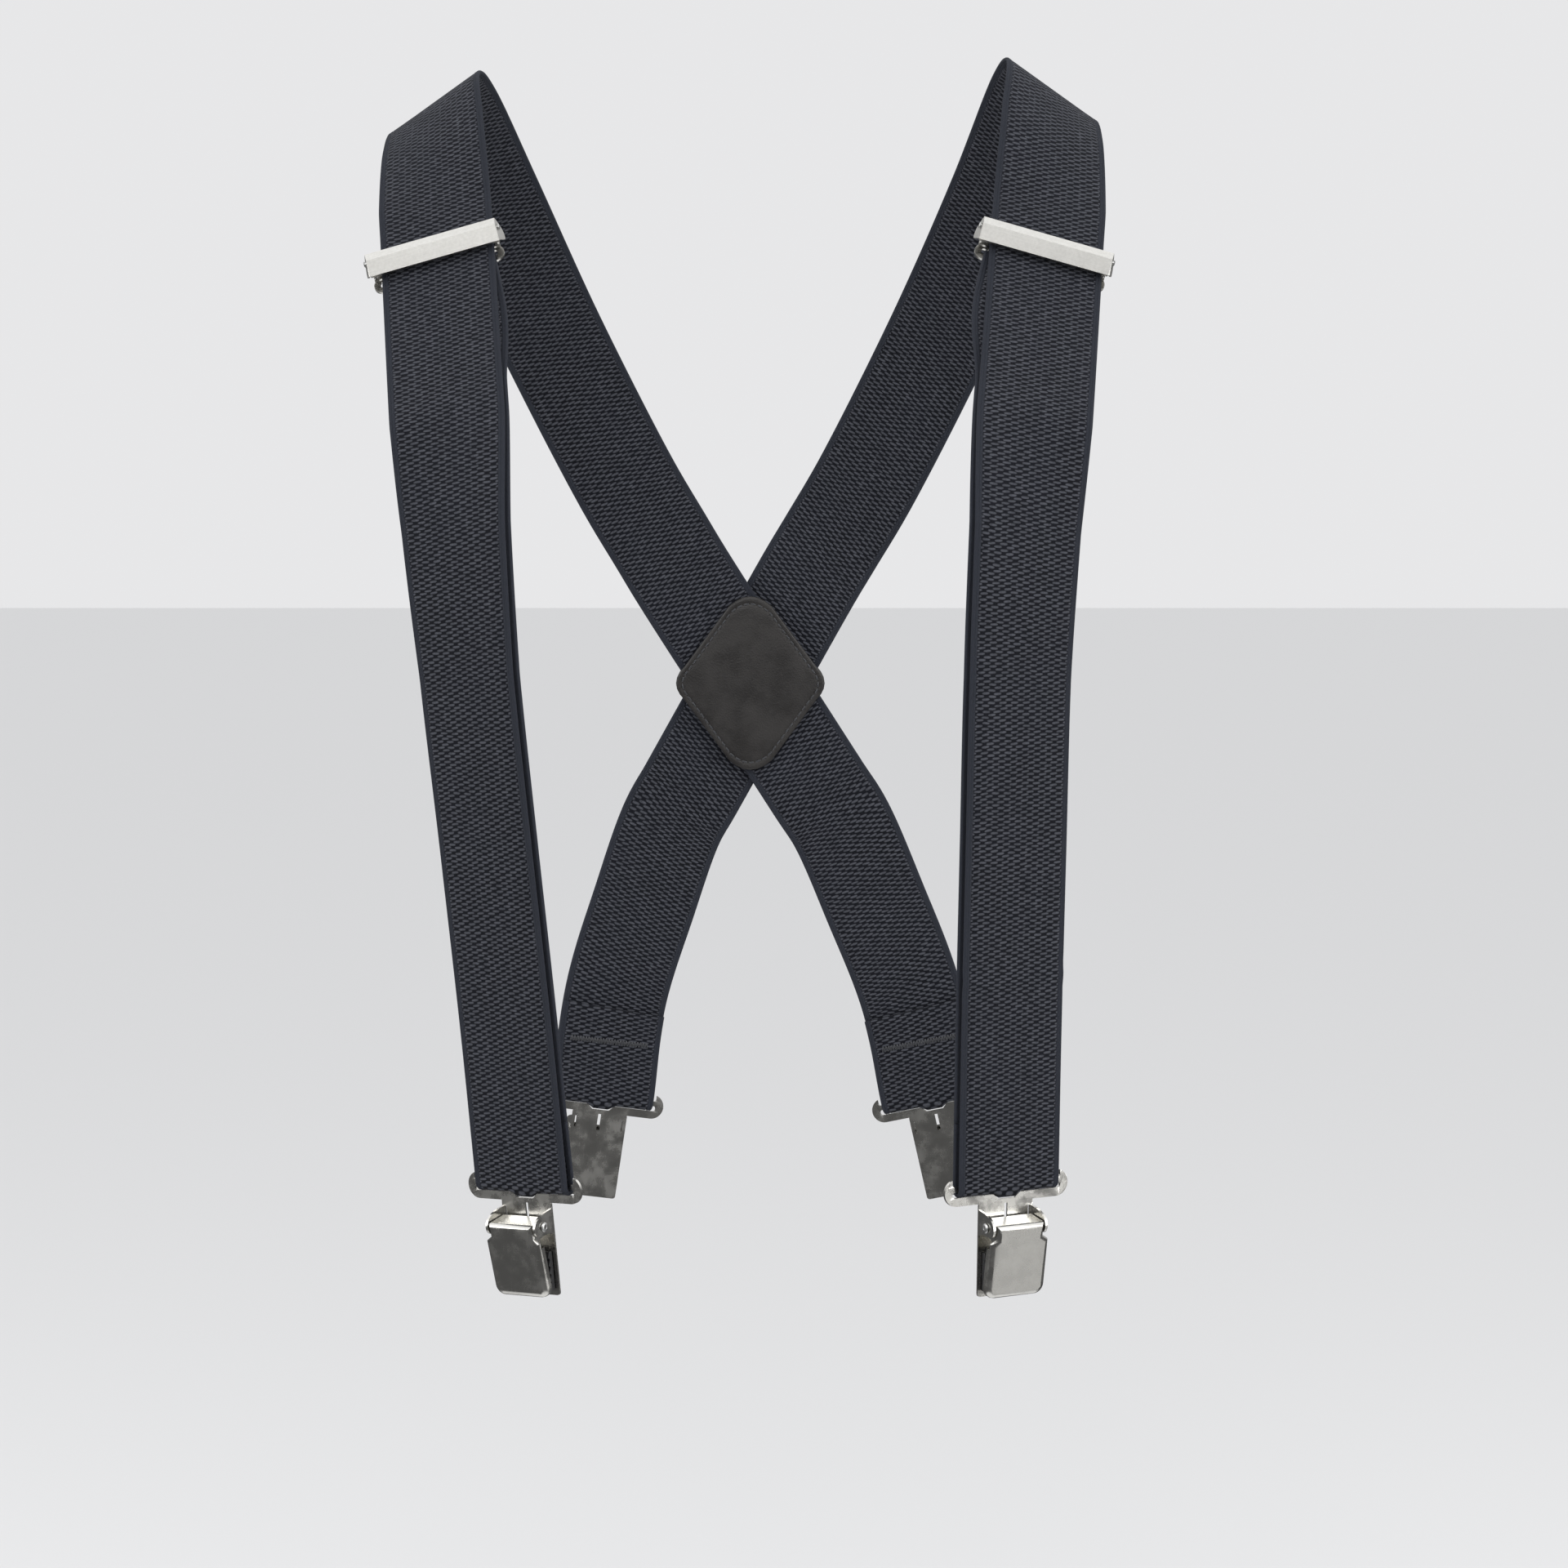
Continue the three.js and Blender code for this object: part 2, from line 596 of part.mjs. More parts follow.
function addClip(name, place, up) {
  const hung = ringAxis(place).addScaledVector(up, -HANG_HEIGHT);
  const clip = groupAt(axesAt(hung, place.face, up));
  addMesh(clip, `${name}_clip_body`, CLIP_BODY, NICKEL);
  addMesh(clip, `${name}_jaw_pad`, JAW_PAD, GRIP_PLASTIC);
  addMesh(clip, `${name}_rivet_a`, RIVETS.inner, RIVET_STEEL);
  addMesh(clip, `${name}_rivet_b`, RIVETS.outer, RIVET_STEEL);
  addMesh(clip, `${name}_lever`, LEVER, NICKEL);
  addMesh(clip, `${name}_lever_pad`, LEVER_PAD, GRIP_PLASTIC);
}

// ---------------------------------------------------------------- slide adjuster
// The frame: a ring behind the strap, a plate that backs the strap and two ears for the cover.
function adjusterFrame() {
  const ringBottom = BAR_HEIGHT - BAR_HALF;
  const ringRound = (FRAME_RING_TOP - ringBottom) / 2;
  const ring = roundedRectangle(-FRAME_RING_HALF, ringBottom, FRAME_RING_HALF, FRAME_RING_TOP, ringRound);
  const slotBottom = BAR_HEIGHT + BAR_HALF;
  const slot = roundedRectangle(
    -FRAME_SLOT_HALF, slotBottom, FRAME_SLOT_HALF, FRAME_RING_TOP - FRAME_RAIL, 0.8,
  );
  const ringDepth = BAR_DEPTH - FRAME_SHEET / 2;
  const earOutside = FRAME_EAR + FRAME_EAR_SHEET;
  const backingBack = BACKING_SHEET - BACKING_FRONT;
  return join(
    [
      frontSheet(ring, ringDepth, FRAME_SHEET, 6),
      block([-earOutside, -BACKING_FRONT, BACKING_BOTTOM], [earOutside, backingBack, BACKING_TOP]),
      sideSheet(frameEarOutline(), -earOutside, FRAME_EAR_SHEET),
      sideSheet(frameEarOutline(), FRAME_EAR, FRAME_EAR_SHEET),
    ],
    [
      frontSheet(slot, ringDepth - 1, FRAME_SHEET + 2, 3),
      pinAlongX(-BEYOND, BEYOND, -COVER_PIVOT_DEPTH, COVER_PIVOT_HEIGHT, COVER_HOLE),
    ],
  );
}

// An ear of the frame in depth and height: up the backing plate, and forwards to the cover's pivot.
function frameEarOutline() {
  const shape = new THREE.Shape();
  shape.moveTo(BAR_DEPTH - 0.5, FRAME_RING_TOP - 1.9);
  shape.lineTo(BAR_DEPTH - 0.5, FRAME_RING_TOP);
  shape.lineTo(-2.4, BACKING_TOP);
  shape.lineTo(-1, BACKING_TOP);
  shape.quadraticCurveTo(-0.9, 0.9, 0.8, 0.9);
  shape.lineTo(3, 0.9);
  shape.absarc(COVER_PIVOT_DEPTH, COVER_PIVOT_HEIGHT, 1.6, Math.PI, -Math.PI * 0.7, true);
  shape.lineTo(0.5, -2.6);
  return shape;
}

// The outline of a bent sheet: a line of corners, and that line again a thickness to its right.
function bentSheet(corners, thickness) {
  const line = corners.map(([x, y]) => new THREE.Vector2(x, y));
  const normals = line.slice(1).map((point, i) => {
    const way = point.clone().sub(line[i]).normalize();
    return new THREE.Vector2(way.y, -way.x);
  });
  const moved = line.map((point, i) => {
    const before = normals[Math.max(i - 1, 0)];
    const after = normals[Math.min(i, normals.length - 1)];
    const reach = thickness / (1 + before.dot(after));
    return point.clone().addScaledVector(before, reach).addScaledVector(after, reach);
  });
  return new THREE.Shape([...line, ...moved.reverse()]);
}

// The cover's corners in depth and height, from behind its pivot over the top and down its front.
const COVER_BACK = [1.8, 2.9];
const COVER_TOP_BACK = [3.9, 4.6];
const COVER_TOP = [6.4, 4.5];
const COVER_RIDGE = [7.7, 0.5];
const COVER_FOOT = [4.7, -5];
const COVER_TEETH = [1.5, -3.3];

// The cover: a channel bent over its pivot, with a toothed foot and flared end flaps. Its top is
// slotted where it turns past the frame's ears.
function adjusterCover() {
  const corners = [COVER_BACK, COVER_TOP_BACK, COVER_TOP, COVER_RIDGE, COVER_FOOT, COVER_TEETH];
  const channel = sideSheet(bentSheet(corners, COVER_SHEET), -COVER_HALF_LENGTH, 2 * COVER_HALF_LENGTH);
  const flare = THREE.MathUtils.degToRad(COVER_FLARE);
  const flaps = [-1, 1].map((side) => {
    const start = side > 0 ? -COVER_SHEET : 0;
    const flap = sideSheet(coverFlapOutline(), start, COVER_SHEET, 5).translate(0, COVER_RIDGE[0], 0);
    return flap.rotateZ(-side * flare).translate(side * COVER_HALF_LENGTH, -COVER_RIDGE[0], 0);
  });
  const hole = pinAlongX(-BEYOND, BEYOND, -COVER_PIVOT_DEPTH, COVER_PIVOT_HEIGHT, COVER_HOLE);
  const [slotFront, slotBottom, slotTop] = [5.6, 2, 6];
  const [inside, outside] = [FRAME_EAR - 0.4, FRAME_EAR + FRAME_EAR_SHEET + 0.15];
  const earSlots = [-1, 1].map((side) =>
    block([side * inside, -slotFront, slotBottom], [side * outside, 0, slotTop]),
  );
  return join([channel, ...flaps], [hole, ...earSlots]);
}

// A flap of the cover in depth and height: its end wall, drawn out behind to a rounded tip.
function coverFlapOutline() {
  const shape = new THREE.Shape();
  shape.moveTo(...COVER_TOP);
  shape.lineTo(...COVER_RIDGE);
  shape.lineTo(...COVER_FOOT);
  shape.lineTo(-1.2, -1);
  shape.quadraticCurveTo(-2.8, 0.1, -2.6, 1.6);
  shape.quadraticCurveTo(-2.3, 3.6, 0.2, 4.1);
  shape.lineTo(...COVER_TOP_BACK);
  return shape;
}

// The pin through the cover's flap into the frame's ear.
function coverPin(side) {
  const [headRadius, headEdge, headTop] = [1.25, 0.15, 0.45];
  const flare = Math.tan(THREE.MathUtils.degToRad(COVER_FLARE));
  const flapAtHead = (COVER_RIDGE[0] - COVER_PIVOT_DEPTH + headRadius) * flare;
  const outside = COVER_HALF_LENGTH + flapAtHead + GAP / 2;
  const profile = [
    [0, outside - FRAME_EAR],
    [COVER_PIN_RADIUS, outside - FRAME_EAR],
    [COVER_PIN_RADIUS, 0],
    [headRadius, 0],
    [headRadius, -headEdge],
    [headRadius - 0.5, -headTop],
    [0, -headTop],
  ].map(([radius, depth]) => new THREE.Vector2(radius, -depth));
  const pin = new THREE.LatheGeometry(profile, 16).rotateZ((-side * Math.PI) / 2);
  return pin.translate(side * outside, -COVER_PIVOT_DEPTH, COVER_PIVOT_HEIGHT);
}

const ADJUSTER_FRAME = adjusterFrame();
const ADJUSTER_COVER = adjusterCover();
const COVER_PINS = { a: coverPin(-1), b: coverPin(1) };

function adjusterPlace(route) {
  const distance = route.distanceAtHeight(ADJUSTER_Z);
  const { at, along, face } = route.at(distance);
  const up = along.clone().applyAxisAngle(face, THREE.MathUtils.degToRad(-route.side * ADJUSTER_SKEW));
  const matrix = axesAt(at, face, up);
  return { distance, matrix: matrix.multiply(new THREE.Matrix4().makeTranslation(ADJUSTER_SHIFT, 0, 0)) };
}

function addAdjuster(name, adjuster) {
  const placed = groupAt(adjuster.matrix);
  addMesh(placed, `${name}_adjuster_frame`, ADJUSTER_FRAME, NICKEL);
  addMesh(placed, `${name}_adjuster_pin_a`, COVER_PINS.a, RIVET_STEEL);
  addMesh(placed, `${name}_adjuster_pin_b`, COVER_PINS.b, RIVET_STEEL);
  addMesh(placed, `${name}_adjuster_cover`, ADJUSTER_COVER, COVER_NICKEL);
  const below = 8;
  const depth = foldDepth(below) - WEB_THICKNESS / 2 - 2 * GAP;
  const stitches = tack(34, 2.4).translate(0, -depth, FOLD_CENTRE_HEIGHT - below);
  addMesh(placed, `${name}_adjuster_tack`, stitches, THREAD);
}

// ---------------------------------------------------------------- crossed back
// A leather leaf shaped like a rounded kite, one outside and one inside the crossing.
function patchLeaf(y) {
  const shape = new THREE.Shape();
  const [width, height, corner] = [33, 40, 9];
  shape.moveTo(-corner, height - corner * 0.8);
  shape.quadraticCurveTo(0, height + corner * 0.1, corner, height - corner * 0.8);
  shape.lineTo(width - 5, 7);
  shape.quadraticCurveTo(width + 2, 0, width - 5, -7);
  shape.lineTo(corner, corner * 0.8 - height);
  shape.quadraticCurveTo(0, -height - corner * 0.1, -corner, corner * 0.8 - height);
  shape.lineTo(5 - width, -7);
  shape.quadraticCurveTo(-width - 2, 0, 5 - width, 7);
  const sway = rampDown(CROSSING_Z, HIP_START_Z, HIP_END_Z);
  return frontSheet(shape, 0, PATCH_THICKNESS, 6).translate(HIP_SHIFT * sway, y, CROSSING_Z);
}

// ---------------------------------------------------------------- the whole object
for (const side of [1, -1]) {
  const name = side > 0 ? 'left' : 'right';
  const route = new StrapRoute(side);
  const adjuster = adjusterPlace(route);
  addMesh(group, `${name}_strap`, mainStrap(route), ELASTIC);
  addMesh(group, `${name}_return_run`, returnRun(route, adjuster), ELASTIC);
  addAdjuster(name, adjuster);
  const front = route.at(0);
  addClip(`${name}_front`, front, front.along);
  const rear = route.at(route.length);
  addClip(`${name}_rear`, rear, rear.along.clone().negate());
  const tail = rearTail(route, 24);
  const sewn = groupAt(axesAt(tail.at, tail.face.clone().negate(), rear.along.clone().negate()));
  addMesh(sewn, `${name}_rear_tack`, tack(34, 2.4).translate(0, WEB_THICKNESS / 2 + GAP, 0), THREAD);
}

const strapsHalf = CROSSING_LIFT + WEB_THICKNESS / 2;
addMesh(group, 'back_patch_outer', patchLeaf(CROSSING_Y + strapsHalf + GAP + PATCH_THICKNESS), LEATHER);
addMesh(group, 'back_patch_inner', patchLeaf(CROSSING_Y - strapsHalf - GAP), LEATHER);

export default group;
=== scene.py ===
import math

import bmesh
import bpy
import numpy as np
from mathutils import Matrix, Vector


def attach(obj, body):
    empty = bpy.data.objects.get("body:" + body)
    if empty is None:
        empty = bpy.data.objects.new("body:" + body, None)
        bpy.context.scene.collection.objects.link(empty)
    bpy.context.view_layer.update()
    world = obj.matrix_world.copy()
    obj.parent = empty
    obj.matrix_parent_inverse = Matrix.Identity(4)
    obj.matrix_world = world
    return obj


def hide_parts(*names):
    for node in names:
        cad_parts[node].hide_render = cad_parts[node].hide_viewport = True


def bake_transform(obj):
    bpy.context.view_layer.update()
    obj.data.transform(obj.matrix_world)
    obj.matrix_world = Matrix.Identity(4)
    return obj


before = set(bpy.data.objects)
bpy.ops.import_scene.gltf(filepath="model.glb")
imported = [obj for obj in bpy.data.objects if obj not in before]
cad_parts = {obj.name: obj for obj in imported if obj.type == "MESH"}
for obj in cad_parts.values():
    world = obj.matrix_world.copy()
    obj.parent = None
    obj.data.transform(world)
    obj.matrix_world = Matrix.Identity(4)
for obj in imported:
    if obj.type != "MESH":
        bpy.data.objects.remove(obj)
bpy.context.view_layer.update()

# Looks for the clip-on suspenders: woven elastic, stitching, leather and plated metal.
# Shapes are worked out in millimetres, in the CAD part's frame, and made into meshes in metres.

MM = 0.001

# ------------------------------------------------------------------ sizes shared with the CAD part
WEB_WIDTH = 44
WEB_THICKNESS = 1.6
LANE = 2.25
GAP = 0.3
BUTT_HEIGHT = 25
REAR_TAIL = 38
REAR_TAIL_CLOSES = 28  # above the rear ring, where the sewn end lies against the strap
RETURN_SHIFT = 1.2
RETURN_CLOSES = 35  # above the front ring, where the return run lies close behind the strap
LOOP_RADIUS = 1.3 + WEB_THICKNESS / 2
BAR_DEPTH = -3.7
BAR_HEIGHT = -6.6
FOLD_CENTRE_HEIGHT = BAR_HEIGHT + 0.9
FOLD_RADIUS = 0.7 + WEB_THICKNESS / 2
FOLD_LENGTH = 12
TURN_START = 62  # below the adjuster, where the return run begins to line up with it
TURN_LENGTH = 42
RUN_END = 20  # below the adjuster, where the return run is in line with it
TACK_WIDTH = 34
TACK_HEIGHT = 2.4
TACK_BELOW_FOLD = 8
REAR_TACK_HEIGHT = 24  # above the rear ring
ADJUSTER_SKEW = 8
ADJUSTER_SHIFT = -1
ADJUSTER_Z = -57.8
CROSSING_Z = -232
CROSSING_Y = 118
CROSSING_LIFT = 1.2
HIP_SHIFT = 8.9
HIP_START_Z = -190
HIP_END_Z = -404
CHEST_TURN = 3.3
CHEST_START_Z = -130
CHEST_END_Z = -230
SHOULDER_RISE = 5
SHOULDER_START_Z = -38

# The middle line of one strap on the +X side, as the CAD part has it: a point, the way its outer
# face looks, and 1 where the two straps cross and one is lifted over the other.
ROUTE = [
    ((91.6, -106, -406.9), (0.53, -0.85, 0), 0),
    ((94.5, -108, -350), (0.53, -0.85, 0), 0),
    ((98.6, -112, -280), (0.53, -0.85, 0), 0),
    ((102.5, -115, -215), (0.52, -0.85, 0.02), 0),
    ((106.3, -111, -160), (0.42, -0.88, 0.2), 0),
    ((109.2, -98.8, -120), (0.16, -0.81, 0.56), 0),
    ((110.8, -88.4, -105), (0.16, -0.81, 0.56), 0),
    ((116.5, -50.4, -50), (0.16, -0.81, 0.56), 0),
    ((117.8, -42.1, -38), (0.16, -0.81, 0.56), 0),
    ((120.2, -20, -10.5), (0.42, -0.5, 0.76), 0),
    ((121, 2, 3), (0.57, -0.05, 0.82), 0),
    ((117.5, 26, -1), (0.52, 0.3, 0.8), 0),
    ((104, 64, -33), (0.36, 0.7, 0.61), 0),
    ((80, 96, -88), (0.22, 0.93, 0.3), 0),
    ((50, 113, -148), (0.06, 1, 0.06), 0),
    ((36, CROSSING_Y, -172), (0, 1, 0), 1),
    ((27, CROSSING_Y, -187), (0, 1, 0), 1),
    ((0, CROSSING_Y, CROSSING_Z), (0, 1, 0), 1),
    ((-27, CROSSING_Y, -277), (0, 1, 0), 1),
    ((-36, CROSSING_Y, -292), (0, 1, 0), 1),
    ((-49, 112.5, -325), (-0.1, 1, -0.05), 0),
    ((-62, 105, -362), (-0.2, 0.98, -0.05), 0),
    ((-70.5, 102, -406.9), (-0.26, 0.96, 0), 0),
]

# ------------------------------------------------------------------ camera and studio
CAMERA_AT = (0.016, -1.697, -0.1163)
CAMERA_PITCH = 85  # degrees from straight down, so five below the horizon
CAMERA_LENS = 98.4
FLOOR_Z = -0.75


def add_camera():
    camera = bpy.data.objects.new("camera", bpy.data.cameras.new("camera"))
    camera.data.lens = CAMERA_LENS
    camera.data.sensor_width = 36
    camera.location = CAMERA_AT
    camera.rotation_euler = (math.radians(CAMERA_PITCH), 0, 0)
    bpy.context.scene.collection.objects.link(camera)
    bpy.context.scene.camera = camera


def add_softbox(name, location, target, size, power):
    light = bpy.data.lights.new(name, "AREA")
    light.shape = "RECTANGLE"
    light.size, light.size_y = size
    light.energy = power
    lamp = bpy.data.objects.new(name, light)
    lamp.location = location
    lamp.rotation_euler = (Vector(target) - Vector(location)).to_track_quat("-Z", "Y").to_euler()
    lamp.visible_camera = False
    bpy.context.scene.collection.objects.link(lamp)


def add_studio():
    chest = (0.01, -0.06, -0.2)
    add_softbox("left softbox", (-1.5, -0.6, 0.25), chest, (0.8, 1.5), 12)
    add_softbox("right softbox", (1.5, -0.75, 0.15), chest, (0.8, 1.7), 15.5)
    add_softbox("right low card", (1.25, -0.64, -1.15), (0.1, -0.1, -0.43), (0.8, 0.7), 0.9)
    add_softbox("front softbox", (-0.2, -2.2, 1.1), chest, (1.4, 0.6), 10)
    bpy.context.scene.world = studio_world()
    mesh = bpy.data.meshes.new("floor")
    far = 12
    corners = [(-far, -far, FLOOR_Z), (far, -far, FLOOR_Z), (far, far, FLOOR_Z), (-far, far, FLOOR_Z)]
    mesh.from_pydata(corners, [], [(0, 1, 2, 3)])
    floor = bpy.data.objects.new("floor", mesh)
    floor.visible_glossy = False
    bpy.context.scene.collection.objects.link(floor)
    pale = Shader("pale floor")
    pale.set("Base Color", (0.62, 0.62, 0.62, 1))
    pale.set("Roughness", 0.9)
    mesh.materials.append(pale.material)


def world_step(tree, height, low, high, at_low, at_high):
    node = tree.nodes.new("ShaderNodeMapRange")
    node.interpolation_type = "SMOOTHSTEP"
    tree.links.new(height, node.inputs["Value"])
    for socket, value in zip(("From Min", "From Max", "To Min", "To Max"), (low, high, at_low, at_high)):
        node.inputs[socket].default_value = value
    return node.outputs["Result"]


def studio_world():
    """A pale backdrop for the camera. The light is strong from above, dim from the sides and bright
    again from straight below, as a white floor would give it."""
    world = bpy.data.worlds.new("studio")
    world.use_nodes = True
    tree = world.node_tree
    lit = tree.nodes["Background"]
    lit.inputs["Color"].default_value = (0.98, 0.985, 1, 1)
    seen = tree.nodes.new("ShaderNodeBackground")
    seen.inputs["Color"].default_value = (0.80, 0.80, 0.81, 1)
    place = tree.nodes.new("ShaderNodeTexCoord")
    parts = tree.nodes.new("ShaderNodeSeparateXYZ")
    tree.links.new(place.outputs["Generated"], parts.inputs[0])
    below = world_step(tree, parts.outputs["Z"], -0.85, -0.62, 0.85, 0.0)
    above = world_step(tree, parts.outputs["Z"], -0.1, 0.75, 0.09, 1.25)
    total = tree.nodes.new("ShaderNodeMath")
    tree.links.new(below, total.inputs[0])
    tree.links.new(above, total.inputs[1])
    tree.links.new(total.outputs[0], lit.inputs["Strength"])
    path = tree.nodes.new("ShaderNodeLightPath")
    both = tree.nodes.new("ShaderNodeMixShader")
    tree.links.new(path.outputs["Is Camera Ray"], both.inputs[0])
    tree.links.new(lit.outputs[0], both.inputs[1])
    tree.links.new(seen.outputs[0], both.inputs[2])
    tree.links.new(both.outputs[0], tree.nodes["World Output"].inputs["Surface"])
    return world


# ------------------------------------------------------------------ node helpers
class Shader:
    """A Principled material and short calls that add nodes to it."""

    def __init__(self, name):
        self.material = bpy.data.materials.new(name)
        self.material.use_nodes = True
        self.tree = self.material.node_tree
        self.surface = self.tree.nodes["Principled BSDF"]

    def set(self, socket, value):
        self.surface.inputs[socket].default_value = value

    def feed(self, socket, output):
        self.tree.links.new(output, self.surface.inputs[socket])

    def put(self, target, value):
        """Links an output to an input socket, or sets a number on it."""
        if isinstance(value, bpy.types.NodeSocket):
            self.tree.links.new(value, target)
        elif value is not None:
            target.default_value = value

    def math(self, operation, *values, clamp=False):
        node = self.tree.nodes.new("ShaderNodeMath")
        node.operation = operation
        node.use_clamp = clamp
        for socket, value in zip(node.inputs, values):
            self.put(socket, value)
        return node.outputs[0]

    def ramp(self, value, low, high, to_low=0.0, to_high=1.0):
        """A smooth step of value from low to high."""
        node = self.tree.nodes.new("ShaderNodeMapRange")
        node.interpolation_type = "SMOOTHSTEP"
        for socket, given in zip(node.inputs, (value, low, high, to_low, to_high)):
            self.put(socket, given)
        return node.outputs[0]

    def mix(self, factor, first, second):
        node = self.tree.nodes.new("ShaderNodeMix")
        node.data_type = "RGBA"
        colours = [socket for socket in node.inputs if socket.type == "RGBA"]
        self.put(node.inputs[0], factor)
        self.put(colours[0], first)
        self.put(colours[1], second)
        return next(socket for socket in node.outputs if socket.type == "RGBA")

    def attribute(self, name):
        node = self.tree.nodes.new("ShaderNodeAttribute")
        node.attribute_name = name
        return node.outputs["Vector"]

    def object_point(self):
        return self.tree.nodes.new("ShaderNodeTexCoord").outputs["Object"]

    def split(self, vector):
        node = self.tree.nodes.new("ShaderNodeSeparateXYZ")
        self.tree.links.new(vector, node.inputs[0])
        return node.outputs

    def stretched(self, vector, scale, rotation=(0, 0, 0)):
        node = self.tree.nodes.new("ShaderNodeMapping")
        node.inputs["Scale"].default_value = scale
        node.inputs["Rotation"].default_value = rotation
        self.tree.links.new(vector, node.inputs["Vector"])
        return node.outputs[0]

    def noise(self, vector, scale, detail=2.0, roughness=0.5):
        node = self.tree.nodes.new("ShaderNodeTexNoise")
        node.inputs["Scale"].default_value = scale
        node.inputs["Detail"].default_value = detail
        node.inputs["Roughness"].default_value = roughness
        self.tree.links.new(vector, node.inputs["Vector"])
        return node.outputs["Fac"]

    def cell_noise(self, *places):
        """A random number for each cell of a grid."""
        place = self.tree.nodes.new("ShaderNodeCombineXYZ")
        for socket, value in zip(place.inputs, places):
            self.put(socket, value)
        node = self.tree.nodes.new("ShaderNodeTexWhiteNoise")
        node.noise_dimensions = "3D"
        self.tree.links.new(place.outputs[0], node.inputs["Vector"])
        return node.outputs["Value"]

    def bump(self, height, distance, strength=1.0):
        node = self.tree.nodes.new("ShaderNodeBump")
        node.inputs["Distance"].default_value = distance
        node.inputs["Strength"].default_value = strength
        self.tree.links.new(height, node.inputs["Height"])
        self.tree.links.new(node.outputs[0], self.surface.inputs["Normal"])


# ------------------------------------------------------------------ materials
LUMP_PITCH = 5.05  # mm between raised lumps across the webbing
LUMP_ROW = 1.08  # mm between rows, each shifted by half a pitch
LUMP_HALF_LENGTH = 1.8
LUMP_HALF_HEIGHT = 0.6
LUMP_TILT = -0.05
ROW_SLANT = 0.02
ROW_WOBBLE = 1.1  # mm
WEAVE_RELIEF = 0.00035  # metres
SELVAGE = 2.5


def woven_lumps(shader, across, along, shift):
    """Height and random tone of every second row of lumps, rounded bricks that lie a little askew."""
    column = shader.math("ADD", shader.math("DIVIDE", across, LUMP_PITCH), shift)
    row = shader.math("ADD", shader.math("DIVIDE", along, 2 * LUMP_ROW), shift)
    cell = shader.cell_noise(shader.math("FLOOR", column), shader.math("FLOOR", row), shift)
    uneven = shader.math("MULTIPLY_ADD", cell, 0.1, -0.55)
    sideways = shader.math("MULTIPLY", shader.math("ADD", shader.math("FRACT", column), uneven), LUMP_PITCH)
    upwards = shader.math("MULTIPLY_ADD", shader.math("FRACT", row), 2 * LUMP_ROW, -LUMP_ROW)
    level = shader.math("MULTIPLY_ADD", sideways, LUMP_TILT, upwards)
    share_along = shader.math("ABSOLUTE", shader.math("DIVIDE", sideways, LUMP_HALF_LENGTH))
    share_up = shader.math("ABSOLUTE", shader.math("DIVIDE", level, LUMP_HALF_HEIGHT))
    ends = shader.math("POWER", share_along, 4.0)
    sides = shader.math("POWER", share_up, 2.0)
    return shader.ramp(shader.math("ADD", ends, sides), 0.1, 1.1, 1.0, 0.0), cell


def weave_pattern(shader, weave):
    """Height of the lumps and a random tone for each, with rows that wander a little."""
    across, along, _ = shader.split(weave)
    wobble = shader.noise(shader.stretched(weave, (0.12, 0.1, 1)), 1.0, 1.0, 0.5)
    slanted = shader.math("MULTIPLY_ADD", across, ROW_SLANT, along)
    wavy = shader.math("MULTIPLY_ADD", wobble, ROW_WOBBLE, slanted)
    even_lump, even_cell = woven_lumps(shader, across, wavy, 0.0)
    odd_lump, odd_cell = woven_lumps(shader, across, wavy, 0.5)
    lump = shader.math("MAXIMUM", even_lump, odd_lump)
    return lump, shader.math("FRACT", shader.math("ADD", even_cell, odd_cell))


def selvage_mask(shader, weave):
    across, _, _ = shader.split(weave)
    half = WEB_WIDTH / 2 - SELVAGE
    return shader.ramp(shader.math("ABSOLUTE", across), half - 0.2, half + 0.2)


def elastic_material():
    """Woven elastic: brick-laid lumps of yarn with painted shade as the dark ground between them, and plain
    ridged selvages.
    """
    shader = Shader("charcoal elastic weave")
    weave = shader.attribute("weave")
    lump, cell = weave_pattern(shader, weave)
    edge = selvage_mask(shader, weave)
    fibre = shader.noise(shader.stretched(weave, (1.6, 7, 1)), 1.7, 3.0, 0.7)
    strands = shader.noise(shader.stretched(weave, (9, 1.2, 1)), 1.0, 3.0, 0.7)
    patchy = shader.noise(shader.stretched(weave, (0.05, 0.022, 1)), 1.0, 3.0, 0.6)
    bright = shader.math("MULTIPLY_ADD", cell, 0.35, shader.math("MULTIPLY", fibre, 0.7), clamp=True)
    # The dark colour between the lumps is painted shade. Mixing by the lump's dome also paints shade that
    # darkens each lump towards its rim.
    shade_between_lumps = shader.mix(patchy, (0.0022, 0.0026, 0.0045, 1), (0.006, 0.007, 0.012, 1))
    yarn = shader.mix(bright, (0.020, 0.022, 0.028, 1), (0.088, 0.092, 0.109, 1))
    bound = shader.mix(strands, (0.010, 0.012, 0.017, 1), (0.042, 0.046, 0.060, 1))
    shader.feed("Base Color", shader.mix(edge, shader.mix(lump, shade_between_lumps, yarn), bound))
    shader.feed("Roughness", shader.ramp(fibre, 0.2, 0.8, 0.66, 0.9))
    shader.set("Specular IOR Level", 0.14)
    shader.set("Sheen Weight", 0.02)
    shader.set("Sheen Roughness", 0.5)
    raised = shader.math("MULTIPLY_ADD", fibre, 0.2, lump)
    middle = shader.math("MULTIPLY", raised, shader.math("SUBTRACT", 1.0, edge))
    shader.bump(shader.math("ADD", middle, shader.math("MULTIPLY", strands, edge)), WEAVE_RELIEF)
    return shader.material


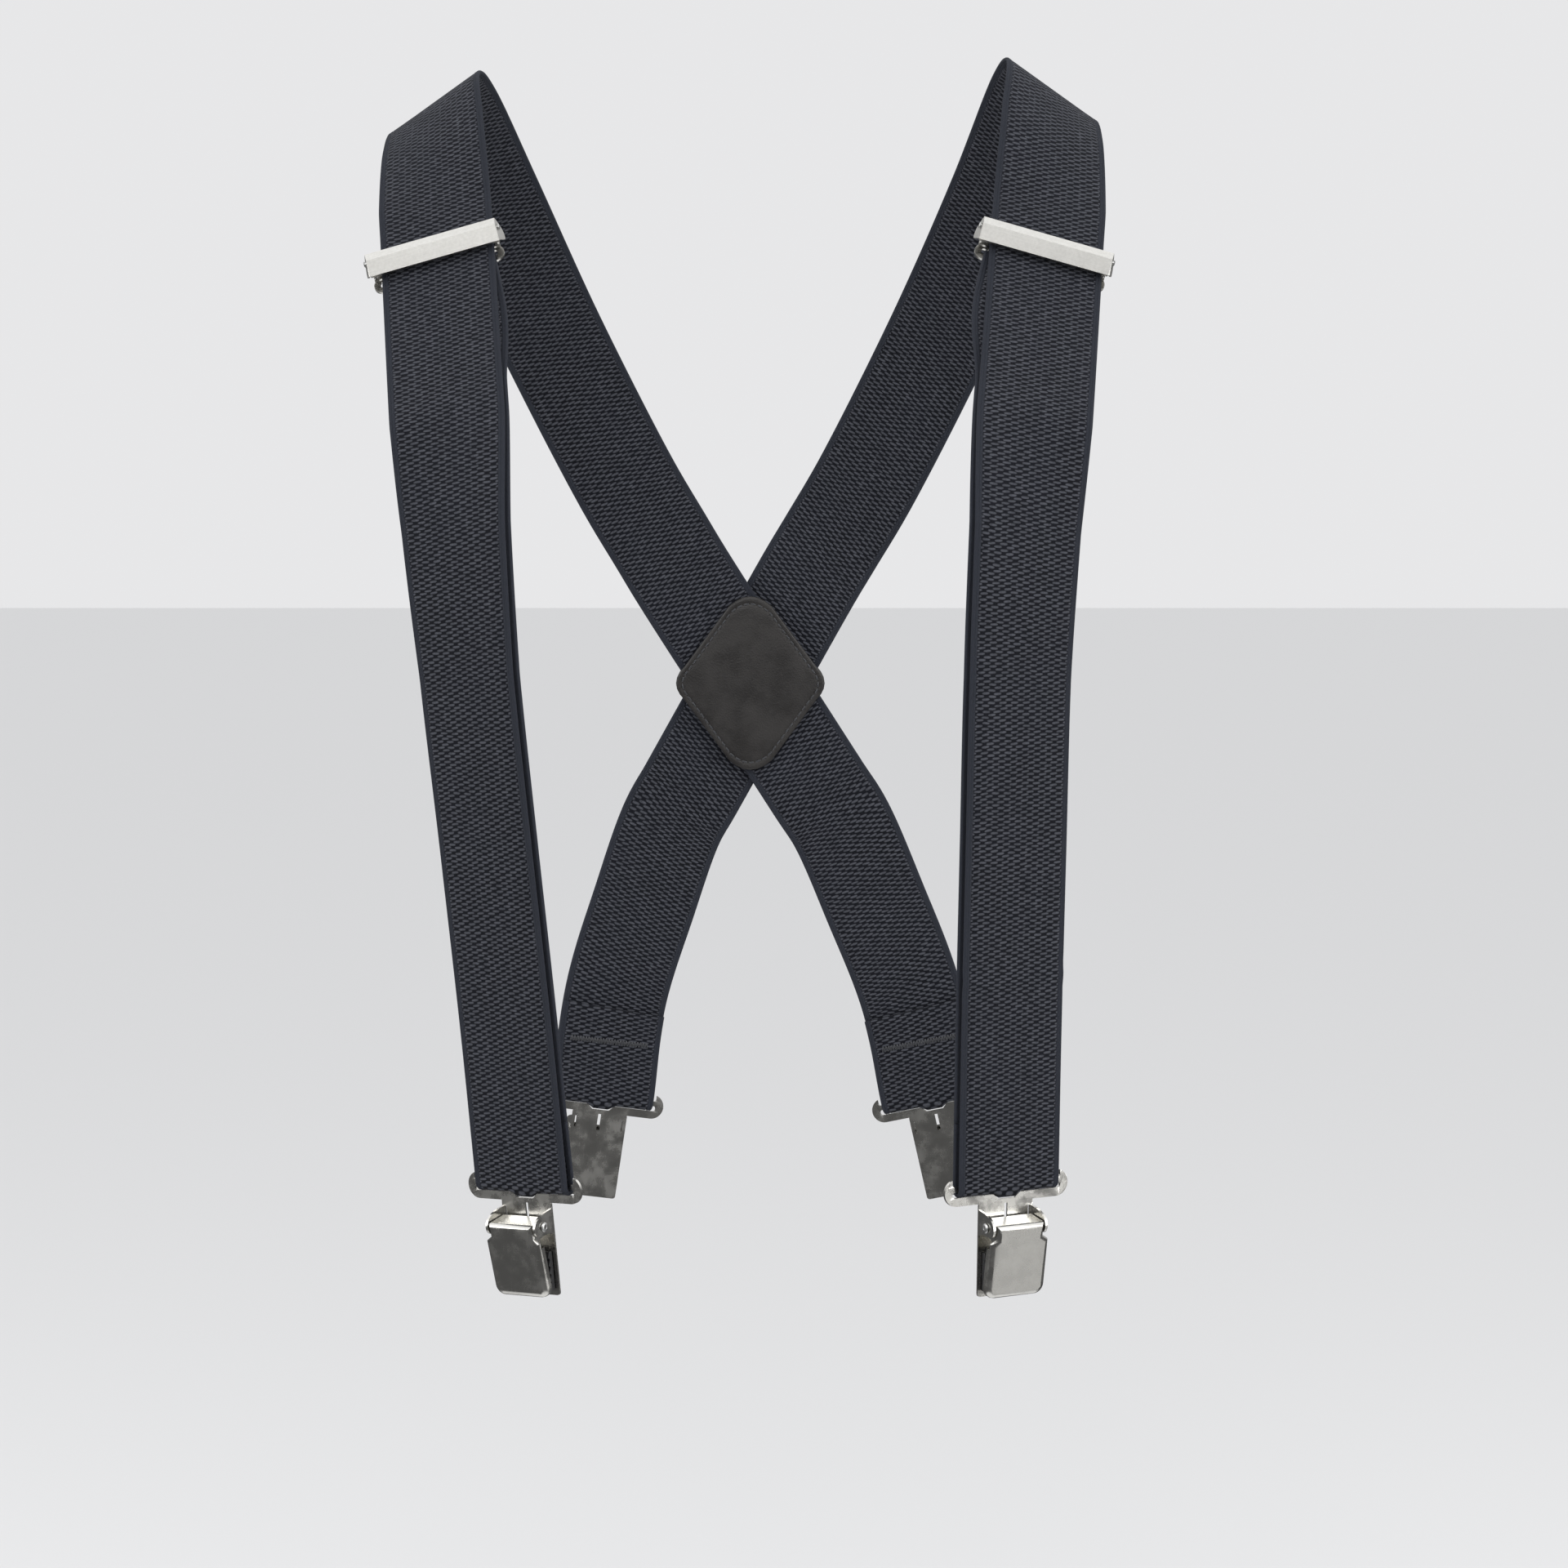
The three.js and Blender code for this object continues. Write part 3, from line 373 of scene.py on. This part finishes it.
def thread_material():
    """Polyester sewing thread with its twist."""
    shader = Shader("black sewing thread")
    point = shader.object_point()
    twist = shader.noise(shader.stretched(point, (2600, 2600, 5200)), 1.0, 2.0)
    shader.feed("Base Color", shader.mix(twist, (0.008, 0.009, 0.012, 1), (0.035, 0.037, 0.045, 1)))
    shader.set("Roughness", 0.5)
    shader.set("Sheen Weight", 0.3)
    shader.bump(twist, 0.00008)
    return shader.material


def leather_material():
    """Smooth black leather with a fine pebble and a patchy worn tone."""
    shader = Shader("black leather")
    point = shader.object_point()
    cells = shader.tree.nodes.new("ShaderNodeTexVoronoi")
    cells.feature = "SMOOTH_F1"
    cells.inputs["Scale"].default_value = 1500
    shader.tree.links.new(point, cells.inputs["Vector"])
    grain = cells.outputs["Distance"]
    worn = shader.noise(point, 90, 4.0, 0.6)
    height = shader.math("MULTIPLY_ADD", worn, 0.5, grain)
    shader.feed("Base Color", shader.mix(worn, (0.010, 0.009, 0.009, 1), (0.030, 0.027, 0.025, 1)))
    shader.feed("Roughness", shader.ramp(worn, 0.3, 0.7, 0.42, 0.62))
    shader.bump(height, 0.00012, 0.8)
    return shader.material


NICKEL_COLOURS = ((0.78, 0.765, 0.72, 1), (0.58, 0.57, 0.54, 1))  # from bright to dark
RIVET_COLOURS = ((0.66, 0.66, 0.65, 1), (0.52, 0.52, 0.51, 1))


def plated_material(name, bright, dark, roughness, wear):
    """Nickel plate: a clouded satin sheen with a fine grain and a few handling scratches."""
    shader = Shader(name)
    point = shader.object_point()
    cloud = shader.noise(point, 130, 4.0, 0.6)
    grain = shader.noise(point, 5200, 2.0, 0.6)
    hairs = shader.noise(shader.stretched(point, (90, 110, 5200), (0.35, 0.2, 0.5)), 1.0, 2.0, 0.6)
    crossed = shader.noise(shader.stretched(point, (4800, 120, 90), (0.1, 0.5, 1.1)), 1.0, 2.0, 0.6)
    scratch = shader.ramp(shader.math("MULTIPLY", hairs, crossed), 0.34, 0.46)
    tone = shader.math("MULTIPLY_ADD", grain, 0.3, shader.math("MULTIPLY", cloud, 0.7))
    shader.feed("Base Color", shader.mix(tone, bright, dark))
    satin = shader.ramp(cloud, 0.32, 0.68, roughness * 0.7, roughness * 1.5)
    shader.feed("Roughness", shader.math("MULTIPLY_ADD", scratch, 0.1 * wear, satin))
    shader.set("Metallic", 1.0)
    shader.bump(shader.math("MULTIPLY_ADD", scratch, 0.3 * wear, cloud), 0.000004)
    return shader.material


def brushed_material():
    """The adjuster's cover: satin, brushed along its length and rubbed in spots."""
    shader = Shader("brushed nickel cover")
    point = shader.attribute("local")
    lines = shader.noise(shader.stretched(point, (60, 3200, 3200)), 1.0, 3.0, 0.6)
    spots = shader.noise(point, 900, 3.0, 0.6)
    cloud = shader.noise(point, 120, 2.0, 0.5)
    tone = shader.math("MULTIPLY_ADD", lines, 0.4, shader.math("MULTIPLY", spots, 0.6))
    shader.feed("Base Color", shader.mix(tone, (0.50, 0.49, 0.46, 1), (0.80, 0.79, 0.755, 1)))
    shader.feed("Roughness", shader.ramp(cloud, 0.3, 0.7, 0.33, 0.42))
    shader.set("Metallic", 1.0)
    return shader.material


def plastic_material():
    """Moulded black grip plastic with a fine spark-eroded grain."""
    shader = Shader("moulded grip plastic")
    point = shader.object_point()
    grain = shader.noise(point, 3000, 3.0, 0.6)
    worn = shader.noise(point, 220, 2.0)
    shader.feed("Base Color", shader.mix(worn, (0.012, 0.012, 0.013, 1), (0.030, 0.030, 0.032, 1)))
    shader.feed("Roughness", shader.ramp(grain, 0.3, 0.7, 0.42, 0.62))
    shader.bump(grain, 0.00004)
    return shader.material


# ------------------------------------------------------------------ strap route
def smoothstep(value):
    t = np.clip(value, 0, 1)
    return t * t * (3 - 2 * t)


def mixed(first, second, share):
    return first + (second - first) * share


def unit(vector):
    return vector / np.linalg.norm(vector)


def ramp_down(z, start, end):
    return float(np.clip((start - z) / (start - end), 0, 1))


def turned_about_z(vector, degrees):
    angle = math.radians(degrees)
    x, y, z = vector
    return np.array([
        x * math.cos(angle) - y * math.sin(angle),
        x * math.sin(angle) + y * math.cos(angle),
        z,
    ])


def centripetal(before, start, end, after, t):
    """Centripetal Catmull-Rom points from start to end, the curve that the CAD part uses."""
    d0, d1, d2 = (
        np.linalg.norm(b - a) ** 0.5 for a, b in ((before, start), (start, end), (end, after))
    )
    leave = ((start - before) / d0 - (end - before) / (d0 + d1) + (end - start) / d1) * d1
    arrive = ((end - start) / d1 - (after - start) / (d1 + d2) + (after - end) / d2) * d1
    t = t[:, None]
    square = 3 * (end - start) - 2 * leave - arrive
    cube = 2 * (start - end) + leave + arrive
    return start + leave * t + square * t**2 + cube * t**3


class StrapRoute:
    """One strap's middle line with its face direction, on the +X side (1) or the -X side (-1)."""

    SAMPLES = 80  # between two of the route's points

    def __init__(self, side):
        self.side = side
        places = [self.place(*entry) for entry in ROUTE]
        points = [at for at, _ in places]
        padded = [2 * points[0] - points[1], *points, 2 * points[-1] - points[-2]]
        share = np.arange(self.SAMPLES) / self.SAMPLES
        line, faces = [], []
        for i in range(len(points) - 1):
            line.append(centripetal(*padded[i:i + 4], share))
            faces.append(mixed(places[i][1], places[i + 1][1], share[:, None]))
        self.line = np.vstack([*line, points[-1]])
        self.faces = np.vstack([*faces, places[-1][1]])
        steps = np.linalg.norm(np.diff(self.line, axis=0), axis=1)
        self.distances = np.concatenate([[0], np.cumsum(steps)])
        self.tangents = np.gradient(self.line, self.distances, axis=0)
        self.length = self.distances[-1]

    def place(self, point, face, crossing):
        x, y, z = point
        sway = ramp_down(z, HIP_START_Z, HIP_END_Z)
        turn = -CHEST_TURN * ramp_down(z, CHEST_START_Z, CHEST_END_Z) if y < 0 else 0
        rise = SHOULDER_RISE * smoothstep(1 - z / SHOULDER_START_Z) if self.side > 0 else 0
        lift = crossing * self.side * CROSSING_LIFT
        at = np.array([self.side * x + HIP_SHIFT * sway, y + lift, z + rise])
        return at, turned_about_z((self.side * face[0], face[1], face[2]), turn)

    def between(self, values, distance):
        return np.array([np.interp(distance, self.distances, values[:, i]) for i in range(3)])

    def at(self, distance):
        """Position, direction of travel, face and across direction at a distance from the front ring."""
        along = unit(self.between(self.tangents, distance))
        face = self.between(self.faces, distance)
        face = unit(face - along * (face @ along))
        return self.between(self.line, distance), along, face, np.cross(along, face)

    def distance_at_height(self, height):
        front = self.distances < self.length / 2
        return float(np.interp(height, self.line[front, 2], self.distances[front]))


def ring_axis(route, distance):
    at, _, face, _ = route.at(distance)
    return at - face * LOOP_RADIUS


def adjuster_place(route):
    """Distance from the front ring, middle point and the three axes of one adjuster."""
    distance = route.distance_at_height(ADJUSTER_Z)
    at, along, face, _ = route.at(distance)
    turn = Matrix.Rotation(math.radians(-route.side * ADJUSTER_SKEW), 3, Vector(face))
    up = np.array(turn @ Vector(along))
    across = np.cross(-face, up)
    return distance, at + across * ADJUSTER_SHIFT, across, -face, up


# ------------------------------------------------------------------ webbing
# Half of the cross-section: distance from the middle and height of the face, in millimetres. The
# body is flat, then come a groove and the two ridges of the selvage.
HALF_SECTION = [
    (0, 0.72), (3.2, 0.72), (6.2, 0.72), (10, 0.72), (15, 0.72), (19.2, 0.72), (19.55, 0.5),
    (19.95, 0.76), (20.35, 0.8), (20.65, 0.6), (20.95, 0.8), (21.35, 0.76), (21.75, 0.5), (22, 0),
]


STATION_SPACING = 2.5  # between the cross-sections of a webbing
TURN_STEPS = 14  # in half a turn round a bar


def web_section():
    right = HALF_SECTION
    left = [(-across, height) for across, height in HALF_SECTION[:0:-1]]
    top = left + right
    bottom = [(across, -height) for across, height in top[-2:0:-1]]
    return top + bottom


def station(at, across, face, sag=0):
    """A cross-section's middle point, its two directions and its share of the sag at the ring."""
    return (np.asarray(at), np.asarray(across), np.asarray(face), sag)


def half_turn(centre, out, down, across, radius, sags=False):
    """Half a turn round a bar: out starts the turn, down is where it passes at its middle."""
    made = []
    for i in range(TURN_STEPS + 1):
        angle = math.pi * i / TURN_STEPS
        face = out * math.cos(angle) + down * math.sin(angle)
        sag = math.sin(angle) ** 3 if sags else 0
        made.append(station(centre + face * radius, across, face, sag))
    return made


SAG = 0.25  # how far the fold settles all along the ring's bar
DIP_SAG = 1.75  # how much further it settles into the dip in the ring's middle
DIP_HALF_WIDTH = 6.2
DIP_SLOPE = 3.0  # the width of either sloping side of the dip


def sag_at(sideways):
    """How far the fold settles in the ring, at a distance from the strap's middle."""
    into_dip = np.clip((DIP_HALF_WIDTH - abs(sideways)) / DIP_SLOPE, 0, 1)
    return SAG + DIP_SAG * into_dip


def return_layer(route, distance):
    """The layer behind the front run, at a distance above the front ring."""
    at, _, face, across = route.at(distance)
    close = smoothstep(distance / RETURN_CLOSES)
    behind = mixed(2 * LOOP_RADIUS, LANE, close)
    inward = -route.side * RETURN_SHIFT * close
    return station(at - face * behind + across * inward, across, -face)


def rear_tail(route, distance):
    """The sewn end behind the rear ring, at a distance above it."""
    at, _, face, across = route.at(route.length - distance)
    behind = mixed(2 * LOOP_RADIUS, WEB_THICKNESS + GAP, smoothstep(distance / REAR_TAIL_CLOSES))
    return station(at - face * behind, across, -face)


def spaced(start, end, spacing):
    return np.linspace(start, end, max(1, round(abs(end - start) / spacing)) + 1)


CREASE_DISTANCE = 79  # above the front ring, where the left strap has an old fold line
CREASE_HALF = 5
CREASE_HEIGHT = 0.35
CREASE_RIPPLE = 2.4


def creased(route, distance):
    """A place on the strap, with the left strap's faint fold line pressed in."""
    at, _, face, across = route.at(distance)
    if route.side > 0:
        off = (distance - CREASE_DISTANCE) / CREASE_HALF
        at = at + face * CREASE_HEIGHT * math.exp(-off * off) * math.cos(off * CREASE_RIPPLE)
    return station(at, across, face)


def main_strap(route):
    """Stations from the sewn butt above the front ring to the sewn end above the rear ring."""
    _, front_along, front_face, front_across = route.at(0)
    _, rear_along, rear_face, rear_across = route.at(route.length)
    front_axis, rear_axis = ring_axis(route, 0), ring_axis(route, route.length)
    front_turn = half_turn(front_axis, front_face, -front_along, front_across, LOOP_RADIUS, sags=True)
    rear_turn = half_turn(rear_axis, rear_face, rear_along, rear_across, LOOP_RADIUS, sags=True)
    return [
        *[return_layer(route, d) for d in spaced(BUTT_HEIGHT, STATION_SPACING, STATION_SPACING)],
        *front_turn[::-1],
        *[creased(route, d) for d in spaced(2, route.length - 2, STATION_SPACING)],
        *rear_turn,
        *[rear_tail(route, d) for d in spaced(STATION_SPACING, REAR_TAIL, STATION_SPACING)],
    ]


def fold_depth(below):
    """Depth of the return run's folded end, at a distance below its fold."""
    closed = WEB_THICKNESS + GAP - FOLD_RADIUS
    return BAR_DEPTH - mixed(FOLD_RADIUS, closed, smoothstep(below / FOLD_LENGTH))


def return_run(route):
    """Stations from above the front ring, up to the adjuster's bar, round it and down the fold."""
    distance, middle, across, inward, up = adjuster_place(route)
    lane_depth = BAR_DEPTH + FOLD_RADIUS

    def place(depth, height):
        return middle + inward * -depth + up * height

    made = []
    for d in spaced(BUTT_HEIGHT + GAP, distance - RUN_END, STATION_SPACING):
        at, layer_across, layer_face, _ = return_layer(route, d)
        turned = smoothstep((d - distance + TURN_START) / TURN_LENGTH)
        at = mixed(at, place(lane_depth, d - distance), turned)
        layer_across = unit(mixed(layer_across, across, turned))
        made.append(station(at, layer_across, -unit(mixed(layer_face, inward, turned))))
    made += [station(place(lane_depth, h), across, -inward) for h in spaced(-17, FOLD_CENTRE_HEIGHT, 3)]
    made += half_turn(place(BAR_DEPTH, FOLD_CENTRE_HEIGHT), -inward, up, across, FOLD_RADIUS)[1:]
    for d in spaced(1.5, FOLD_LENGTH, 1.5):
        made.append(station(place(fold_depth(d), FOLD_CENTRE_HEIGHT - d), across, inward))
    return made


def new_piece(name, vertices, faces, material):
    """A smooth mesh object in metres from points in millimetres."""
    mesh = bpy.data.meshes.new(name)
    mesh.from_pydata([tuple(np.asarray(v) * MM) for v in vertices], [], faces)
    mesh.materials.append(material)
    piece = bpy.data.objects.new(name, mesh)
    bpy.context.scene.collection.objects.link(piece)
    made = bmesh.new()
    made.from_mesh(mesh)
    bmesh.ops.recalc_face_normals(made, faces=made.faces)
    made.to_mesh(mesh)
    made.free()
    mesh.shade_smooth()
    return piece


def woven_strip(name, stations, material):
    """Webbing through stations. The weave attribute holds millimetres across and along it."""
    section = web_section()
    count = len(section)
    vertices, weave = [], []
    run = 0
    previous = stations[0][0]
    for at, across, face, sag in stations:
        run += float(np.linalg.norm(at - previous))
        previous = at
        for sideways, out in section:
            vertices.append(at + across * sideways + face * (out + sag * sag_at(sideways)))
            weave.append((sideways, run, 1 if out > 0 else -1))
    faces = [tuple(range(count))]
    for i in range(len(stations) - 1):
        for k in range(count):
            a, b = i * count + k, i * count + (k + 1) % count
            faces.append((a, b, b + count, a + count))
    last = (len(stations) - 1) * count
    faces.append(tuple(last + k for k in range(count - 1, -1, -1)))
    piece = new_piece(name, vertices, faces, material)
    attribute = piece.data.attributes.new("weave", "FLOAT_VECTOR", "POINT")
    attribute.data.foreach_set("vector", np.array(weave, np.float32).ravel())
    return piece, run


# ------------------------------------------------------------------ stitching and leather
def thread_loops(name, stitches, radius, material):
    """Short arched threads, each given by its start, end and the way it stands out, in millimetres."""
    vertices, faces = [], []
    steps, sides = 5, 6
    for start, end, out in stitches:
        direction = unit(end - start)
        side = np.cross(direction, out)
        first = len(vertices)
        for i in range(steps + 1):
            t = i / steps
            bulge = math.sin(math.pi * t)
            middle = mixed(start, end, t) + out * radius * (bulge * 0.9 - 0.5)
            thick = radius * (0.55 + 0.45 * math.sqrt(bulge))
            for k in range(sides):
                angle = math.tau * k / sides
                vertices.append(middle + (side * math.cos(angle) + out * math.sin(angle)) * thick)
        for i in range(steps):
            for k in range(sides):
                a, b = first + i * sides + k, first + i * sides + (k + 1) % sides
                faces.append((a, b, b + sides, a + sides))
        faces.append(tuple(first + k for k in range(sides - 1, -1, -1)))
        faces.append(tuple(first + steps * sides + k for k in range(sides)))
    return new_piece(name, vertices, faces, material)


def bar_tack(name, centre, across, up, out, material):
    """A close zigzag across a sewn end."""
    stitches = []
    pitch, thread_radius = 0.62, 0.3
    for i in range(int(TACK_WIDTH / pitch)):
        x = (i + 0.5) * pitch - TACK_WIDTH / 2
        lean = pitch * 0.5 if i % 2 else -pitch * 0.5
        low = centre + across * (x - lean) - up * TACK_HEIGHT / 2
        high = centre + across * (x + lean) + up * TACK_HEIGHT / 2
        stitches.append((low, high, out))
    return thread_loops(name, stitches, thread_radius, material)


def quadratic(start, control, end, steps=6):
    start, control, end = map(np.array, (start, control, end))
    share = (np.arange(1, steps + 1) / steps)[:, None]
    return list(start * (1 - share) ** 2 + 2 * control * share * (1 - share) + end * share**2)


def patch_outline():
    """The leather leaf's outline, a rounded kite, as the CAD part draws it."""
    width, height, corner = 33, 40, 9
    shoulder = height - corner * 0.8
    top = [np.array([-corner, shoulder])]
    top += quadratic((-corner, shoulder), (0, height + corner * 0.1), (corner, shoulder))
    right = quadratic((width - 5, 7), (width + 2, 0), (width - 5, -7))
    bottom = [np.array([corner, -shoulder])]
    bottom += quadratic((corner, -shoulder), (0, -height - corner * 0.1), (-corner, -shoulder))
    left = quadratic((5 - width, -7), (-width - 2, 0), (5 - width, 7))
    corners = [*top, np.array([width - 5, 7.0]), *right, *bottom, np.array([5.0 - width, -7]), *left]
    return divided(corners, 2.0)


def divided(corners, spacing):
    """A closed outline with points no further apart than the spacing."""
    made = []
    for start, end in zip(corners, corners[1:] + corners[:1]):
        steps = max(1, math.ceil(np.linalg.norm(end - start) / spacing))
        made += [mixed(start, end, i / steps) for i in range(steps)]
    return made


SEAM_SHARE = 0.915  # of the leaf's outline, where its stitches run in a groove
SEAM_HEIGHT = 1.72
STITCH_PITCH = 3.0
STITCH_GAP = 0.7
SEAM_THREAD_RADIUS = 0.32

# Rings of the leaf from its inner edge over the rim to the middle: share of the outline, height.
LEAF_RINGS = [
    (0.0, 0.0), (0.5, 0.0), (0.97, 0.0), (0.995, 0.2), (1.0, 0.7), (0.997, 1.3), (0.985, 1.65),
    (0.965, 1.78), (0.93, 1.74), (0.915, 1.5), (0.9, 1.72), (0.85, 1.85), (0.6, 2.0), (0.3, 2.05),
    (0.0, 2.06),
]


def leather_leaf(name, y, outward, leather, thread):
    """A leaf of leather whose good side looks along outward times Y, with its line of stitches."""
    sway = ramp_down(CROSSING_Z, HIP_START_Z, HIP_END_Z)
    centre = np.array([HIP_SHIFT * sway, y, CROSSING_Z])
    outline = patch_outline()
    count = len(outline)

    def spot(point, share, height):
        return centre + np.array([point[0] * share, outward * height, point[1] * share])

    vertices = [spot((0, 0), 0, LEAF_RINGS[0][1]), spot((0, 0), 0, LEAF_RINGS[-1][1])]
    for share, height in LEAF_RINGS[1:-1]:
        vertices += [spot(point, share, height) for point in outline]
    rings = len(LEAF_RINGS) - 2
    faces = []
    for k in range(count):
        after = (k + 1) % count
        faces.append((0, 2 + after, 2 + k))
        top = 2 + (rings - 1) * count
        faces.append((1, top + k, top + after))
        for ring in range(rings - 1):
            a = 2 + ring * count
            faces.append((a + k, a + after, a + count + after, a + count + k))
    leaf = new_piece(name, vertices, faces, leather)
    stitches = []
    line = divided([point * SEAM_SHARE for point in outline], 0.4)
    lengths = np.concatenate([[0], np.cumsum([np.linalg.norm(b - a) for a, b in zip(line, line[1:])])])
    line = np.array(line)
    for i in range(int(lengths[-1] / STITCH_PITCH)):
        ends = []
        for where in (i * STITCH_PITCH + STITCH_GAP / 2, (i + 1) * STITCH_PITCH - STITCH_GAP / 2):
            flat = [np.interp(where, lengths, line[:, axis]) for axis in (0, 1)]
            ends.append(spot(flat, 1, SEAM_HEIGHT))
        stitches.append((*ends, np.array([0, float(outward), 0])))
    seam = thread_loops(name + "_stitches", stitches, SEAM_THREAD_RADIUS, thread)
    return leaf, seam


# ------------------------------------------------------------------ hardware
def local_attribute(node, origin, x_axis, y_axis, z_axis):
    """Stores each vertex's place in the hardware's own axes, in metres, for brushed lines."""
    turn = np.array([x_axis, y_axis, z_axis])
    flat = np.zeros(len(node.data.vertices) * 3, np.float32)
    node.data.vertices.foreach_get("co", flat)
    local = (flat.reshape(-1, 3) - np.array(origin) * MM) @ turn.T
    attribute = node.data.attributes.new("local", "FLOAT_VECTOR", "POINT")
    attribute.data.foreach_set("vector", local.astype(np.float32).ravel())


SHARP_ANGLE = 40  # degrees between two faces, from where on their edge is eased


def finish_node(name, material, edge):
    """A CAD node keeps its shape. Its edges are eased, in millimetres, and it gets its own material."""
    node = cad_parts[name]
    node.data.materials.clear()
    node.data.materials.append(material)
    weld = node.modifiers.new("weld", "WELD")
    weld.merge_threshold = 0.00001
    bevel = node.modifiers.new("eased edges", "BEVEL")
    bevel.width = edge * MM
    bevel.segments = 3
    bevel.limit_method = "ANGLE"
    bevel.angle_limit = math.radians(SHARP_ANGLE)
    bevel.use_clamp_overlap = True
    normals = node.modifiers.new("even shading", "WEIGHTED_NORMAL")
    normals.keep_sharp = True
    node.data.shade_smooth()


PIN_EDGE = 0.12
PAD_EDGE = 0.2


def dress_clip(name, metals, plastic):
    finish_node(f"{name}_clip_body", metals["nickel"], 0.3)
    finish_node(f"{name}_lever", metals["nickel"], 0.45)
    finish_node(f"{name}_rivet_a", metals["rivet"], PIN_EDGE)
    finish_node(f"{name}_rivet_b", metals["rivet"], PIN_EDGE)
    finish_node(f"{name}_jaw_pad", plastic, PAD_EDGE)
    finish_node(f"{name}_lever_pad", plastic, PAD_EDGE)


BLEND_START = 88  # below the adjuster; dress_straps finds a point on the route there and does not use it
BLEND_END = 24


def dress_straps(route, name, materials):
    """The strap and its return run."""
    strap, strap_length = woven_strip(f"{name}_webbing", main_strap(route), materials["elastic"])
    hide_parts(f"{name}_strap")
    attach(strap, "straps")

    distance = adjuster_place(route)[0]
    run, run_length = woven_strip(f"{name}_return_webbing", return_run(route), materials["elastic"])
    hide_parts(f"{name}_return_run")
    start = route.at(distance - BLEND_START)[0] * MM
    end = route.at(distance - BLEND_END)[0] * MM
    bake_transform(run)


def dress_stitching(route, name, materials):
    """The bar tacks of the return run's folded end and of the strap's rear end."""
    _, middle, across, inward, up = adjuster_place(route)
    depth = fold_depth(TACK_BELOW_FOLD) - WEB_THICKNESS / 2
    centre = middle - inward * depth + up * (FOLD_CENTRE_HEIGHT - TACK_BELOW_FOLD)
    tack = bar_tack(f"{name}_adjuster_stitches", centre, across, up, inward, materials["thread"])
    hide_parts(f"{name}_adjuster_tack")
    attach(tack, f"{name}_adjuster")

    at, tail_across, tail_face, _ = rear_tail(route, REAR_TACK_HEIGHT)
    tail_up = np.cross(tail_across, tail_face)
    centre = at + tail_face * WEB_THICKNESS / 2
    rear = bar_tack(f"{name}_rear_stitches", centre, tail_across, tail_up, tail_face, materials["thread"])
    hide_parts(f"{name}_rear_tack")
    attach(rear, "straps")


def dress_adjuster(route, name, materials):
    metals = materials["metals"]
    _, middle, across, inward, up = adjuster_place(route)
    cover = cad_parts[f"{name}_adjuster_cover"]
    local_attribute(cover, middle, across, inward, up)
    finish_node(f"{name}_adjuster_cover", materials["cover"], 0.25)
    finish_node(f"{name}_adjuster_frame", metals["nickel"], 0.22)
    finish_node(f"{name}_adjuster_pin_a", metals["rivet"], PIN_EDGE)
    finish_node(f"{name}_adjuster_pin_b", metals["rivet"], PIN_EDGE)


def dress_side(side, name, materials):
    route = StrapRoute(side)
    dress_straps(route, name, materials)
    dress_stitching(route, name, materials)
    dress_adjuster(route, name, materials)
    for end_name in ("front", "rear"):
        dress_clip(f"{name}_{end_name}", materials["metals"], materials["plastic"])


def dress_crossing(materials):
    straps_half = CROSSING_LIFT + WEB_THICKNESS / 2
    places = {
        "back_patch_outer": (CROSSING_Y + straps_half + GAP, 1),
        "back_patch_inner": (CROSSING_Y - straps_half - GAP, -1),
    }
    for node, (y, outward) in places.items():
        leaf, seam = leather_leaf(node + "_leather", y, outward, materials["leather"], materials["thread"])
        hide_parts(node)
        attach(leaf, "straps")
        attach(seam, "straps")


# ------------------------------------------------------------------ the whole scene
bpy.context.scene.view_settings.view_transform = "Standard"
add_camera()
add_studio()
MATERIALS = {
    "elastic": elastic_material(),
    "thread": thread_material(),
    "leather": leather_material(),
    "plastic": plastic_material(),
    "cover": brushed_material(),
    "metals": {
        "nickel": plated_material("nickel plate", *NICKEL_COLOURS, roughness=0.22, wear=1),
        "rivet": plated_material("rivet steel", *RIVET_COLOURS, roughness=0.3, wear=2),
    },
}
dress_side(1, "left", MATERIALS)
dress_side(-1, "right", MATERIALS)
dress_crossing(MATERIALS)
